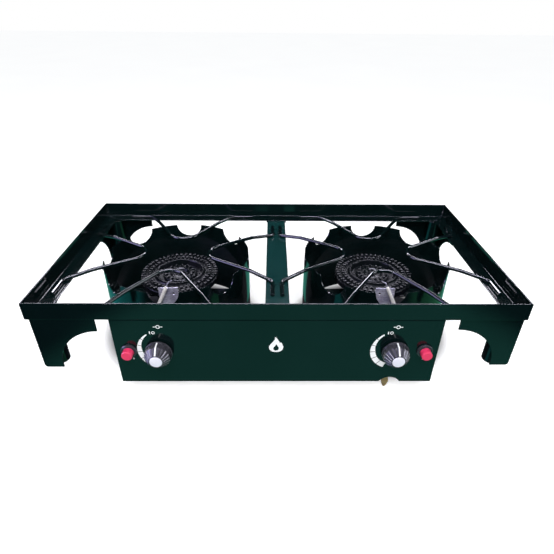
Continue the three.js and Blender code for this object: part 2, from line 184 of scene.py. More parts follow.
class Shape:
    """One mesh while it is modelled, with edit-mode operators and applied modifiers."""

    def __init__(self, thing: bpy.types.Object, name: str) -> None:
        """Take over an object under a piece name."""
        self.thing = thing
        self.named(name)

    # -- how a shape starts

    @classmethod
    def added(cls, name: str, add: Callable[..., object], **settings: object) -> "Shape":
        """Add a primitive with nothing else selected, and seat it at the origin."""
        bpy.ops.object.select_all(action="DESELECT")
        add(**settings)
        return cls(bpy.context.object, name).settle()

    @classmethod
    def bar(cls, name: str, way: Vector, start: Vector, length: float, radius: float,
            sides: int = 32) -> "Shape":
        """Add a round or many-sided bar.

        Args:
            name: The piece's name.
            way: The direction of its axis.
            start: The middle of its first end, in metres.
            length: Its length, in millimetres.
            radius: Its radius across the corners, in millimetres.
            sides: How many sides it has.

        Returns:
            The bar.
        """
        return cls.added(name, bpy.ops.mesh.primitive_cylinder_add, vertices=sides,
                         radius=radius * MM, depth=length * MM,
                         location=start + way * length * MM / 2,
                         rotation=way.to_track_quat("Z", "Y").to_euler())

    @classmethod
    def block(cls, name: str, low: Vector, high: Vector) -> "Shape":
        """Add a block between two corners, in metres."""
        return cls.added(name, bpy.ops.mesh.primitive_cube_add, size=1,
                         location=(low + high) / 2, scale=high - low)

    @classmethod
    def drawn(cls, name: str, points: Sequence[Vector]) -> "Shape":
        """Draw a chain of edges by extruding one vertex from point to point."""
        made = cls.added(name, bpy.ops.mesh.primitive_plane_add, size=MM, location=points[0])
        with made.editing("VERT", everything=True):
            bpy.ops.mesh.merge(type="CENTER")
            for before, after in zip(points, points[1:]):
                bpy.ops.mesh.extrude_vertices_move(
                    TRANSFORM_OT_translate={"value": after - before})
        return made

    @classmethod
    def turned(cls, name: str, profile: Sequence[tuple[float, float]], way: Way,
               through: Vector, steps: int = 64) -> "Shape":
        """Spin a profile about an axis, as on a lathe.

        Args:
            name: The piece's name.
            profile: Points (radius, along the axis), in millimetres.
            way: The axis direction.
            through: A point of the axis, in metres, from which "along" counts.
            steps: How many steps the full turn has.

        Returns:
            The closed solid.
        """
        out = Way.X.vector if way is not Way.X else Way.Y.vector
        points = [through + out * r * MM + way.vector * h * MM for r, h in profile]
        made = cls.drawn(name, points)
        with made.editing("VERT", everything=True):
            bpy.ops.mesh.spin(steps=steps, angle=2 * math.pi, center=through,
                              axis=way.value, use_auto_merge=True)
        return made.closed_up()

    @classmethod
    def plate(cls, name: str, outline: Sequence[Vector], thickness: Vector) -> "Shape":
        """Draw an outline, fill it and extrude it by its thickness."""
        made = cls.drawn(name, outline)
        with made.editing("VERT", everything=True):
            bpy.ops.mesh.edge_face_add()
            bpy.ops.mesh.select_all(action="SELECT")
            bpy.ops.mesh.extrude_region_move(TRANSFORM_OT_translate={"value": thickness})
        return made.closed_up()

    @classmethod
    def rod(cls, name: str, corners: Sequence[Vector], radius: float, bends: Sequence[float],
            sides: int = 16, steps: int = 8) -> "Shape":
        """Draw a round bar along straight runs, and spin it round each bend.

        Args:
            name: The piece's name.
            corners: The points of its centre line before bending, in metres.
            radius: The bar's radius, in millimetres.
            bends: The radius of each bend, in millimetres.
            sides: How many sides the bar has.
            steps: How many steps each bend has.

        Returns:
            The closed bar.
        """
        first = (corners[1] - corners[0]).normalized()
        made = cls.added(name, bpy.ops.mesh.primitive_circle_add, vertices=sides,
                         radius=radius * MM, fill_type="NOTHING", location=corners[0],
                         rotation=first.to_track_quat("Z", "Y").to_euler())
        with made.editing("EDGE", everything=True):
            here = corners[0]
            for bend, before, corner, after in zip(bends, corners, corners[1:], corners[2:]):
                coming = (corner - before).normalized()
                going = (after - corner).normalized()
                turn = coming.angle(going)
                reach = bend * MM * math.tan(turn / 2)
                start = corner - coming * reach
                pivot = coming.cross(going).normalized()
                centre = start + pivot.cross(coming) * bend * MM
                bpy.ops.mesh.extrude_region_move(
                    TRANSFORM_OT_translate={"value": start - here})
                # the operator turns clockwise about its axis
                bpy.ops.mesh.spin(steps=steps, angle=-turn, center=centre, axis=pivot)
                here = corner + going * reach
            bpy.ops.mesh.extrude_region_move(
                TRANSFORM_OT_translate={"value": corners[-1] - here})
            bpy.ops.mesh.select_all(action="SELECT")
            bpy.ops.mesh.fill_holes(sides=0)
        return made.closed_up()

    @classmethod
    def from_node(cls, node: str, name: str) -> "Shape":
        """Copy a node's mesh, and merge its loose triangles into flat faces."""
        made = cls(linked(name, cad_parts[node].data.copy()), name)
        focus(made.thing)
        bpy.ops.mesh.customdata_custom_splitnormals_clear()
        with made.editing("EDGE", everything=True):
            bpy.ops.mesh.remove_doubles(threshold=TINY)
            bpy.ops.mesh.dissolve_limited(angle_limit=math.radians(FLAT))
        return made

    # -- how it is worked on

    @contextmanager
    def editing(self, kind: str, everything: bool = False) -> Iterator[None]:
        """Open edit mode in one select mode, with nothing or everything selected."""
        focus(self.thing)
        bpy.ops.object.mode_set(mode="EDIT")
        bpy.ops.mesh.select_mode(type=kind)
        bpy.ops.mesh.select_all(action="SELECT" if everything else "DESELECT")
        yield
        bpy.ops.object.mode_set(mode="OBJECT")

    def pick(self, kind: str, test: Test) -> None:
        """Select what passes a test of its place and its normal or direction.

        Args:
            kind: FACE or EDGE.
            test: Is given the middle, in metres, and a face's normal or an edge's direction.
        """
        mesh = bmesh.from_edit_mesh(self.thing.data)
        if kind == "FACE":
            for face in mesh.faces:
                face.select_set(test(face.calc_center_median(), face.normal))
        else:
            for edge in mesh.edges:
                first, last = (vertex.co for vertex in edge.verts)
                edge.select_set(test((first + last) / 2, (last - first).normalized()))
        mesh.select_flush_mode()
        bmesh.update_edit_mesh(self.thing.data)

    def named(self, name: str) -> "Shape":
        """Give the piece its name."""
        self.thing.name = self.thing.data.name = name
        return self

    def settle(self) -> "Shape":
        """Put the object at the origin, unturned and unscaled, its place in its mesh."""
        focus(self.thing)
        bpy.ops.object.transform_apply(location=True, rotation=True, scale=True)
        return self

    def closed_up(self) -> "Shape":
        """Merge doubled vertices, and turn every face outward."""
        with self.editing("VERT", everything=True):
            bpy.ops.mesh.remove_doubles(threshold=TINY)
            bpy.ops.mesh.normals_make_consistent(inside=False)
        return self

    def modify(self, kind: str, **settings: object) -> "Shape":
        """Add a modifier and apply it."""
        focus(self.thing)
        modifier = self.thing.modifiers.new(kind.lower(), kind)
        for name, value in settings.items():
            setattr(modifier, name, value)
        bpy.ops.object.modifier_apply(modifier=modifier.name)
        return self

    def soften(self, width: float, steps: int = 2, angle: float = 40.0) -> "Shape":
        """Bevel every edge sharper than an angle.

        Args:
            width: The bevel's width, in millimetres.
            steps: How many faces across it has.
            angle: The smallest angle between faces that counts as an edge, in degrees.

        Returns:
            The same shape.
        """
        return self.modify("BEVEL", width=width * MM, segments=steps, limit_method="ANGLE",
                           angle_limit=math.radians(angle), miter_outer="MITER_ARC")

    def bevel_edges(self, test: Test, width: float, steps: int = 3) -> "Shape":
        """Bevel the edges that pass a test."""
        with self.editing("EDGE"):
            self.pick("EDGE", test)
            bpy.ops.mesh.bevel(offset=width * MM, segments=steps, affect="EDGES",
                               clamp_overlap=True)
        return self

    def cut(self, *cutters: "Shape") -> "Shape":
        """Take other shapes away from this one, and remove them."""
        for cutter in cutters:
            self.modify("BOOLEAN", operation="DIFFERENCE", solver="EXACT", object=cutter.thing)
            bpy.data.objects.remove(cutter.thing)
        return self

    def join(self, *others: "Shape") -> "Shape":
        """Take other shapes into this one's mesh."""
        focus(self.thing, *(other.thing for other in others))
        bpy.ops.object.join()
        return self

    def ring_of(self, copies: int, way: Way, through: Vector) -> "Shape":
        """Repeat the whole mesh round an axis."""
        share = (copies - 1) / copies
        with self.editing("FACE", everything=True):
            bpy.ops.mesh.spin(steps=copies - 1, angle=2 * math.pi * share, dupli=True,
                              center=through, axis=way.value)
        return self

    def copy(self, name: str, place: Matrix) -> "Shape":
        """Copy the shape with its own mesh, moved by a matrix."""
        thing = linked(name, self.thing.data.copy())
        thing.matrix_world = place
        made = Shape(thing, name).settle()
        return made.closed_up() if place.determinant() < 0 else made

    def discard(self) -> None:
        """Remove a shape that was only a pattern for its copies."""
        bpy.data.objects.remove(self.thing)

    def dress(self, finish: "Finish", *replaced: str, body: str = "root",
              angle: float = 35.0) -> None:
        """Finish the piece: material, shading, the body it rides on and the nodes it replaces.

        Args:
            finish: The finish it is made in.
            replaced: The nodes that it stands for.
            body: The body it moves with.
            angle: Edges sharper than this stay sharp, in degrees.
        """
        thing = self.thing
        thing.data.materials.clear()
        thing.data.materials.append(finish.material())
        focus(thing)
        bpy.ops.object.shade_smooth_by_angle(angle=math.radians(angle))
        self.modify("WEIGHTED_NORMAL", keep_sharp=True)
        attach(thing, body)
        if replaced:
            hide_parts(*replaced)
        LOG.info("%s: %d faces, on %s", thing.name, len(thing.data.polygons), body)


def refine(node: str, word: str, finish: "Finish", width: float, steps: int = 2,
           body: str = "root") -> None:
    """Finish a node whose shape is right once its edges are rounded.

    Args:
        node: The node.
        word: What its piece is called after the node's name.
        finish: The finish it is made in.
        width: How much of each edge is rounded, in millimetres.
        steps: How many faces across the rounding has.
        body: The body it moves with.
    """
    Shape.from_node(node, f"{node}_{word}").soften(width, steps).dress(finish, node, body=body)


# ---------------------------------------------------------------- shader nodes


class Graph:
    """Lays out the nodes of one material, world or node group."""

    def __init__(self, tree: bpy.types.NodeTree) -> None:
        """Start on an empty tree."""
        self.tree = tree
        tree.nodes.clear()

    def feed(self, socket: Socket, value: object) -> None:
        """Link a socket into another one, or set its value."""
        if isinstance(value, Socket):
            self.tree.links.new(value, socket)
        else:
            socket.default_value = value

    def add(self, kind: str, inputs: Inputs | None = None,
            **settings: object) -> bpy.types.Node:
        """Add a node.

        Args:
            kind: The shader node's type, without its prefix.
            inputs: What goes into its named inputs, a value or another node's output.
            settings: The node's own properties.

        Returns:
            The node.
        """
        made = self.tree.nodes.new("ShaderNode" + kind)
        for name, value in settings.items():
            setattr(made, name, value)
        for name, value in (inputs or {}).items():
            self.feed(made.inputs[name], value)
        return made

    def reckon(self, operation: str, first: object, second: object = 0.0) -> Socket:
        """Add a Math node."""
        made = self.add("Math", operation=operation)
        self.feed(made.inputs[0], first)
        self.feed(made.inputs[1], second)
        return made.outputs[0]

    def blend(self, share: object, first: object, second: object) -> Socket:
        """Mix two colours."""
        made = self.add("Mix", data_type="RGBA")
        for index, value in ((0, share), (6, first), (7, second)):
            self.feed(made.inputs[index], value)
        return made.outputs[2]

    def span(self, value: object, low: float, high: float, to_low: float = 0.0,
             to_high: float = 1.0) -> Socket:
        """Map a span of values to another one, clamped."""
        made = self.add("MapRange", {"Value": value, "From Min": low, "From Max": high,
                                     "To Min": to_low, "To Max": to_high})
        return made.outputs["Result"]

    def places(self) -> Socket:
        """The place on the piece."""
        return self.add("TexCoord").outputs["Object"]

    def noise(self, scale: object, detail: float = 2.0, places: object = None,
              roughness: float = 0.5) -> Socket:
        """A noise of the place on the piece."""
        made = self.add("TexNoise", {"Scale": scale, "Detail": detail, "Roughness": roughness,
                                     "Vector": places or self.places()})
        return made.outputs[0]

    def use(self, effect: "Effect", **inputs: object) -> Socket:
        """Place a shared effect, and give its one output."""
        return self.add("Group", inputs, node_tree=effect.tree()).outputs[0]


class Effect(Enum):
    """The effects that several finishes share, each one a node group built once."""

    MOTTLE = "slow_mottle"
    RIPPLE = "orange_peel"
    GRAIN = "cast_grain"
    STREAKS = "brushed_streaks"
    WEAR = "edge_wear"
    DUST = "settled_dust"

    def tree(self) -> bpy.types.NodeTree:
        """The effect's node group, built when it is first asked for."""
        return bpy.data.node_groups.get(self.value) or EffectMaker(self.value).make()


class EffectMaker:
    """Builds one shared node group, by the method that has the group's name."""

    def __init__(self, name: str) -> None:
        """Open an empty group."""
        self.name = name
        self.graph = Graph(bpy.data.node_groups.new(name, "ShaderNodeTree"))

    def make(self) -> bpy.types.NodeTree:
        """Lay the effect's nodes, and lead their result to the group's one output."""
        result = getattr(self, self.name)()
        tree = self.graph.tree
        tree.interface.new_socket(name="Value", in_out="OUTPUT", socket_type="NodeSocketFloat")
        tree.links.new(result, tree.nodes.new("NodeGroupOutput").inputs[0])
        return tree

    def takes(self, **inputs: float) -> list[Socket]:
        """Give the group its inputs.

        Args:
            inputs: The inputs' names, with their usual values.

        Returns:
            Their sockets inside the group, in the same order.
        """
        tree = self.graph.tree
        for label, value in inputs.items():
            tree.interface.new_socket(name=label, in_out="INPUT",
                                      socket_type="NodeSocketFloat").default_value = value
        entry = tree.nodes.new("NodeGroupInput")
        return [entry.outputs[label] for label in inputs]

    def slow_mottle(self) -> Socket:
        """Slow, cloudy variation across a surface, from 0 to 1."""
        (scale,) = self.takes(Scale=9.0)
        return self.graph.span(self.graph.noise(scale, detail=3.0, roughness=0.55), 0.32, 0.68)

    def orange_peel(self) -> Socket:
        """The slight ripple of a flowed coat."""
        graph, (scale,) = self.graph, self.takes(Scale=260.0)
        broad = graph.noise(scale, detail=1.0)
        fine = graph.noise(graph.reckon("MULTIPLY", scale, 4.0), detail=0.0)
        return graph.reckon("ADD", broad, graph.reckon("MULTIPLY", fine, 0.2))

    def cast_grain(self) -> Socket:
        """The sandy skin of a casting: grains with small pits between."""
        graph, (scale,) = self.graph, self.takes(Scale=900.0)
        cells = graph.add("TexVoronoi", {"Scale": scale, "Vector": graph.places()})
        grains = graph.span(cells.outputs["Distance"], 0.1, 0.7)
        lumps = graph.noise(graph.reckon("MULTIPLY", scale, 0.35), detail=4.0)
        return graph.reckon("ADD", graph.reckon("MULTIPLY", grains, 0.35), lumps)

    def brushed_streaks(self) -> Socket:
        """Fine streaks along x, as rolled or drawn metal has."""
        graph, (scale, stretch) = self.graph, self.takes(Scale=900.0, Stretch=0.03)
        factors = graph.add("CombineXYZ", {"X": stretch, "Y": 1.0, "Z": 1.0})
        mapped = graph.add("Mapping", {"Vector": graph.places(), "Scale": factors.outputs[0]})
        return graph.span(graph.noise(scale, detail=3.0, places=mapped.outputs[0]), 0.3, 0.7)

    def edge_wear(self) -> Socket:
        """A mask of the edges, broken up, where handling has rubbed a surface."""
        graph, (reach, scale) = self.graph, self.takes(Reach=0.0008, Scale=300.0)
        match = graph.add("VectorMath", operation="DOT_PRODUCT")
        graph.feed(match.inputs[0], graph.add("Bevel", {"Radius": reach}, samples=4).outputs[0])
        graph.feed(match.inputs[1], graph.add("NewGeometry").outputs["Normal"])
        edges = graph.span(match.outputs["Value"], 0.985, 0.85)
        broken = graph.span(graph.noise(scale, detail=4.0), 0.35, 0.6)
        return graph.reckon("MULTIPLY", edges, broken)

    def settled_dust(self) -> Socket:
        """A mask of the faces that look up, in uneven patches."""
        graph, (scale, amount) = self.graph, self.takes(Scale=25.0, Amount=0.3)
        split = graph.add("SeparateXYZ", {"Vector": graph.add("NewGeometry").outputs["Normal"]})
        upward = graph.span(split.outputs["Z"], 0.6, 1.0)
        patches = graph.span(graph.noise(scale, detail=5.0, roughness=0.65), 0.42, 0.7)
        share = graph.reckon("MULTIPLY", upward, patches)
        return graph.reckon("MULTIPLY", share, amount)


# ---------------------------------------------------------------- finishes


@dataclass(frozen=True)
class Finish:
    """What every finish has: its name, and the record's slot that it belongs to."""

    name: str
    slot: str

    def material(self) -> bpy.types.Material:
        """The finish's material, mixed when it is first asked for."""
        made = bpy.data.materials.get(self.name)
        if made is None:
            made = bpy.data.materials.new(self.name)
            made.use_nodes = True
            graph = Graph(made.node_tree)
            shader = graph.add("BsdfPrincipled", self.mix(graph))
            graph.add("OutputMaterial", {"Surface": shader.outputs[0]})
        return made

    def mix(self, graph: Graph) -> Inputs:
        """Lay the finish's own nodes, and say what goes into its shader."""
        raise NotImplementedError

    def relief(self, graph: Graph, height: Socket, depth: float) -> Socket:
        """The normal of a height from 0 to about 1 that is so many millimetres deep."""
        return graph.add("Bump", {"Height": height, "Strength": 1.0,
                                  "Distance": depth * MM}).outputs[0]


@dataclass(frozen=True)
class Enamel(Finish):
    """Dark green glossy enamel, flowed over steel."""

    deep: Colour = (0.0013, 0.0052, 0.0058, 1.0)
    bright: Colour = (0.0020, 0.0078, 0.0082, 1.0)
    dust: Colour = (0.09, 0.10, 0.09, 1.0)
    roughness: Span = (0.06, 0.09)
    dustiness: float = 0.015
    ripple: float = 0.022

    def mix(self, graph: Graph) -> Inputs:
        """Cloudy green under gloss, with a little dust where it faces up."""
        cloud = graph.use(Effect.MOTTLE, Scale=7.0)
        settled = graph.use(Effect.DUST, Scale=40.0, Amount=self.dustiness)
        green = graph.blend(cloud, self.deep, self.bright)
        rough = graph.span(cloud, 0.0, 1.0, *self.roughness)
        return {
            "Base Color": graph.blend(settled, green, self.dust),
            "Roughness": graph.reckon("ADD", rough, graph.reckon("MULTIPLY", settled, 1.5)),
            "Normal": self.relief(graph, graph.use(Effect.RIPPLE, Scale=240.0), self.ripple),
        }


@dataclass(frozen=True)
class CastIron(Finish):
    """Bare cast iron with a sandy skin, oiled and slightly blued."""

    dark: Colour = (0.0022, 0.0050, 0.0052, 1.0)
    blued: Colour = (0.0060, 0.0066, 0.0105, 1.0)
    rubbed: Colour = (0.026, 0.028, 0.036, 1.0)
    roughness: Span = (0.20, 0.30)
    shine: float = 0.17
    grain: float = 0.09

    def mix(self, graph: Graph) -> Inputs:
        """Mottled grey, lighter on the rubbed edges, over a grainy bump."""
        cloud = graph.use(Effect.MOTTLE, Scale=30.0)
        wear = graph.use(Effect.WEAR, Reach=0.0012, Scale=350.0)
        body = graph.blend(cloud, self.dark, self.blued)
        return {
            "Base Color": graph.blend(wear, body, self.rubbed),
            "Roughness": graph.span(cloud, 0.0, 1.0, *self.roughness),
            "Specular IOR Level": self.shine,
            "Normal": self.relief(graph, graph.use(Effect.GRAIN, Scale=1100.0), self.grain),
        }


@dataclass(frozen=True)
class Metal(Finish):
    """A bare or plated metal, drawn or rolled, with duller patches."""

    clean: Colour
    dull: Colour
    rubbed: Colour
    roughness: Span
    metallic: float = 0.45
    groove: float = 0.02

    def mix(self, graph: Graph) -> Inputs:
        """Streaks and duller patches, brighter at the rubbed edges."""
        streak = graph.use(Effect.STREAKS, Scale=1400.0, Stretch=0.05)
        cloud = graph.use(Effect.MOTTLE, Scale=60.0)
        wear = graph.use(Effect.WEAR, Reach=0.0006, Scale=500.0)
        body = graph.blend(graph.reckon("MULTIPLY", cloud, 0.8), self.clean, self.dull)
        lined = graph.blend(graph.reckon("MULTIPLY", streak, 0.25), body, self.dull)
        return {
            "Base Color": graph.blend(wear, lined, self.rubbed),
            "Roughness": graph.span(streak, 0.0, 1.0, *self.roughness),
            "Metallic": self.metallic,
            "Normal": self.relief(graph, streak, self.groove),
        }


@dataclass(frozen=True)
class SpunCap(Finish):
    """A plated disc with the rings of its turning tool, its brightness a painted reflection: a
    pale, mostly matt colour.
    """

    centre: tuple[float, float, float] = (0.0, 0.0, 0.0)
    # painted reflection: pale lavender white on a mostly matt disc stands in for the bright studio
    # mirrored in plated metal
    clean: Colour = (0.90, 0.89, 0.98, 1.0)
    dull: Colour = (0.82, 0.81, 0.92, 1.0)
    metallic: float = 0.15
    roughness: Span = (0.42, 0.55)
    groove: float = 0.01

    def mix(self, graph: Graph) -> Inputs:
        """Fine rings about the knob's axis, over a pale colour that paints in the bright
        reflection of plated metal.
        """
        moved = graph.add("Mapping", {"Vector": graph.places(),
                                      "Location": [-value for value in self.centre]})
        rings = graph.add("TexWave", {"Vector": moved.outputs[0], "Scale": 420.0,
                                      "Distortion": 0.6, "Detail": 1.0},
                          wave_type="RINGS", rings_direction="Y").outputs["Fac"]
        cloud = graph.use(Effect.MOTTLE, Scale=90.0)
        return {
            "Base Color": graph.blend(cloud, self.clean, self.dull),
            "Roughness": graph.span(rings, 0.0, 1.0, *self.roughness),
            "Metallic": self.metallic,
            "Normal": self.relief(graph, rings, self.groove),
        }


@dataclass(frozen=True)
class Moulded(Finish):
    """Moulded plastic or silicone rubber."""

    colour: Colour = (0.01, 0.01, 0.013, 1.0)
    scuffed: Colour = (0.05, 0.05, 0.06, 1.0)
    roughness: Span = (0.22, 0.34)
    shine: float = 0.5
    grain: float = 0.012

    def mix(self, graph: Graph) -> Inputs:
        """A faintly grained skin, scuffed a little at its edges."""
        cloud = graph.use(Effect.MOTTLE, Scale=120.0)
        wear = graph.use(Effect.WEAR, Reach=0.0005, Scale=700.0)
        patch = graph.reckon("ADD", graph.reckon("MULTIPLY", cloud, 0.10),
                             graph.reckon("MULTIPLY", wear, 0.35))
        return {
            "Base Color": graph.blend(patch, self.colour, self.scuffed),
            "Roughness": graph.span(cloud, 0.0, 1.0, *self.roughness),
            "Specular IOR Level": self.shine,
            "Normal": self.relief(graph, graph.use(Effect.GRAIN, Scale=2600.0), self.grain),
        }


@dataclass(frozen=True)
class Ceramic(Finish):
    """White glazed ceramic, a little browned by heat in patches."""

    white: Colour = (0.95, 0.92, 0.91, 1.0)
    browned: Colour = (0.50, 0.36, 0.24, 1.0)
    speck: Colour = (0.35, 0.33, 0.30, 1.0)
    roughness: Span = (0.12, 0.26)
    ripple: float = 0.02

    def mix(self, graph: Graph) -> Inputs:
        """Glaze with specks, and patches of heat tint."""
        specks = graph.span(graph.noise(1500.0, detail=1.0), 0.70, 0.78)
        tint = graph.span(graph.noise(110.0, detail=3.0), 0.55, 0.80, 0.0, 0.14)
        warm = graph.blend(tint, self.white, self.browned)
        return {
            "Base Color": graph.blend(graph.reckon("MULTIPLY", specks, 0.4), warm, self.speck),
            "Roughness": graph.span(graph.noise(300.0), 0.3, 0.7, *self.roughness),
            "Normal": self.relief(graph, graph.use(Effect.RIPPLE, Scale=500.0), self.ripple),
        }


@dataclass(frozen=True)
class Print(Finish):
    """White screen-printed ink."""

    ink: Colour = (0.93, 0.94, 0.95, 1.0)
    thin: Colour = (0.66, 0.72, 0.72, 1.0)
    roughness: Span = (0.38, 0.6)
    weave: float = 0.01

    def mix(self, graph: Graph) -> Inputs:
        """Ink with thin spots from the screen's mesh."""
        mesh = graph.span(graph.noise(2400.0), 0.55, 0.75)
        return {
            "Base Color": graph.blend(graph.reckon("MULTIPLY", mesh, 0.35), self.ink, self.thin),
            "Roughness": graph.span(mesh, 0.0, 1.0, *self.roughness),
            "Normal": self.relief(graph, mesh, self.weave),
        }


@dataclass(frozen=True)
class PaleFloor(Finish):
    """The studio's pale floor, with a painted shadow under each wind guard."""

    pale: Colour = (0.93, 0.93, 0.93, 1.0)
    shade: Colour = (0.91, 0.91, 0.915, 1.0)
    # painted shadow: the near-black colour the floor takes under each guard
    under: Colour = (0.02, 0.02, 0.025, 1.0)
    glow: float = 0.68
    burner: tuple[float, float] = (0.191, 0.014)
    painted_shadow_span: Span = (0.143, 0.172)

    def mix(self, graph: Graph) -> Inputs:
        """Matt paper lit from behind, with a painted shadow where the two guards stand over it:
        there it is near black and does not glow.
        """
        cloud = graph.use(Effect.MOTTLE, Scale=1.5)
        pale = graph.blend(cloud, self.pale, self.shade)
        place = graph.add("SeparateXYZ", {"Vector": graph.places()})
        across = graph.reckon("SUBTRACT", graph.reckon("ABSOLUTE", place.outputs["X"]),
                              self.burner[0])
        along = graph.reckon("SUBTRACT", place.outputs["Y"], self.burner[1])
        square = graph.reckon("ADD", graph.reckon("MULTIPLY", across, across),
                              graph.reckon("MULTIPLY", along, along))
        # painted shadow: near either burner's axis the floor turns near black and stops glowing,
        # fading back to the pale, glowing floor further out
        away = graph.span(graph.reckon("SQRT", square), *self.painted_shadow_span)
        return {
            "Base Color": graph.blend(away, self.under, pale),
            "Emission Color": pale,
            "Emission Strength": graph.reckon("MULTIPLY", away, self.glow),
            "Roughness": 0.9,
            "Specular IOR Level": 0.1,
        }


ENAMEL = Enamel("green_enamel", "enamel")
# painted light: a lighter copy of the green enamel for the centre beam, standing in for the light
# on its open top while the rails' shelves stay in shade
LIT_ENAMEL = Enamel("painted_light_green_enamel", "enamel", deep=(0.0055, 0.036, 0.036, 1.0),
                     bright=(0.0075, 0.048, 0.048, 1.0))
IRON = CastIron("oiled_cast_iron", "cast_iron")
BRASS = Metal("turned_brass", "brass", clean=(0.60, 0.47, 0.22, 1.0),
              dull=(0.36, 0.26, 0.11, 1.0), rubbed=(0.78, 0.66, 0.38, 1.0),
              roughness=(0.38, 0.55))
ZINC = Metal("plated_steel", "zinc", clean=(0.82, 0.80, 0.95, 1.0),
             dull=(0.20, 0.18, 0.32, 1.0), rubbed=(0.92, 0.91, 0.98, 1.0),
             roughness=(0.20, 0.34))
PLASTIC = Moulded("black_plastic", "black_plastic")
RED = Moulded("red_plastic", "red_plastic", colour=(0.30, 0.003, 0.008, 1.0),
              scuffed=(0.40, 0.03, 0.04, 1.0), roughness=(0.14, 0.24), shine=0.3)
SLEEVE = Moulded("silicone_sleeve", "lead_sleeve", colour=(0.20, 0.026, 0.013, 1.0),
                 scuffed=(0.32, 0.10, 0.07, 1.0), roughness=(0.42, 0.60))
GLAZE = Ceramic("glazed_ceramic", "ceramic")
INK = Print("white_ink", "enamel")


# ---------------------------------------------------------------- the frame


@dataclass
class Welder:
    """Lays weld beads: one lump is modelled, and copied along every seam."""

    radius: float = 2.1
    flatness: float = 0.62
    roughness: float = 0.5
    swell: float = 0.16

    def __post_init__(self) -> None:
        """Model the lump."""
        self.lump = Shape.added("weld_lump", bpy.ops.mesh.primitive_ico_sphere_add,
                                subdivisions=2, radius=self.radius * MM)
        ripples = bpy.data.textures.new("weld_ripples", "CLOUDS")
        ripples.noise_scale = self.radius * MM * 0.9
        self.lump.modify("DISPLACE", texture=ripples, strength=self.roughness * MM * 2)

    def run(self, start: Vector, end: Vector, count: int, size: float = 1.0) -> list[Shape]:
        """Lay overlapping lumps along a line.

        Args:
            start: The middle of the first lump, in metres.
            end: The middle of the last one.
            count: How many lumps there are.
            size: How large they are beside the pattern.

        Returns:
            The lumps.
        """
        laid = []
        for index in range(count):
            # each lump has its own size and turn, which also differ from seam to seam
            swollen = size * (1.0 + self.swell * math.sin(2.7 * index + start.x * 90))
            turn = 1.3 * index + start.y * 50
            place = (Matrix.Translation(start.lerp(end, index / max(count - 1, 1)))
                     @ Matrix.Rotation(turn, 4, "Z")
                     @ Matrix.Diagonal((swollen, swollen, swollen * self.flatness, 1.0)))
            laid.append(self.lump.copy("weld", place))
        return laid

    def finish(self, name: str, lumps: list[Shape]) -> None:
        """Join lumps to one enamelled piece."""
        lumps[0].join(*lumps[1:]).named(name).dress(ENAMEL, angle=80.0)


@dataclass(frozen=True)
class Seam:
    """A corner's weld: its ends as (from the corner, height), its lumps and their size."""

    start: tuple[float, float]
    end: tuple[float, float]
    count: int
    size: float


@dataclass
class AngleFrame:
    """Four angle-section rails, mitred and welded, with a beam across the middle."""

    welder: Welder
    mitre_gap: float = 0.3
    edge: float = 0.7
    inside_x: float = 388.0
    inside_y: tuple[float, float] = (2.0, 398.0)
    beam_weld: tuple[float, float, float] = (22.5, 2.2, 3.0)
    seams: tuple[Seam, ...] = (Seam((0.6, -5.0), (0.6, -26.0), 7, 0.75),
                               Seam((4.0, -28.2), (22.0, -28.2), 8, 0.7))

    def rail(self, node: str, way: Way) -> None:
        """Finish one rail: close its mitres, and round its long edges."""
        along = way.vector
        shape = Shape.from_node(node, node + "_angle")
        for sign in (-1, 1):
            with shape.editing("FACE"):
                shape.pick("FACE", lambda _, normal, sign=sign:
                           0.3 < normal.dot(along) * sign < 0.95)
                bpy.ops.transform.translate(value=along * sign * self.mitre_gap * MM)
        shape.bevel_edges(lambda _, way_: abs(way_.dot(along)) > 0.99, self.edge)
        shape.dress(ENAMEL, node)

    def beam(self) -> None:
        """Finish the beam, and weld its ends to the rails."""
        # painted light: the beam takes the lighter copy of the green enamel
        refine("centre_beam", "strip", LIT_ENAMEL, 0.8, 3)
        lumps = []
        low, high = ((corner - DATUM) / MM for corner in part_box("centre_beam"))
        inset, lift, half = self.beam_weld
        z = low.z + lift
        for y in (low.y + inset, high.y - inset):
            for x in (low.x, high.x):
                lumps += self.welder.run(at(x, y - half, z), at(x, y + half, z), 3)
        self.welder.finish("beam_welds", lumps)

    def corners(self) -> None:
        """Weld the rails' inside corners, and the mitres of their shelves."""
        lumps = []
        for x in (-1, 1):
            for y, inward in zip(self.inside_y, (1, -1)):
                for seam in self.seams:
                    start, end = (at((self.inside_x - off) * x, y + inward * off, z)
                                  for off, z in (seam.start, seam.end))
                    lumps += self.welder.run(start, end, seam.count, seam.size)
        self.welder.finish("corner_welds", lumps)

    def build(self) -> None:
        """Build the whole frame."""
        for node in ("front_rail", "back_rail"):
            self.rail(node, Way.X)
        for node in ("left_rail", "right_rail"):
            self.rail(node, Way.Y)
        self.beam()
        self.corners()


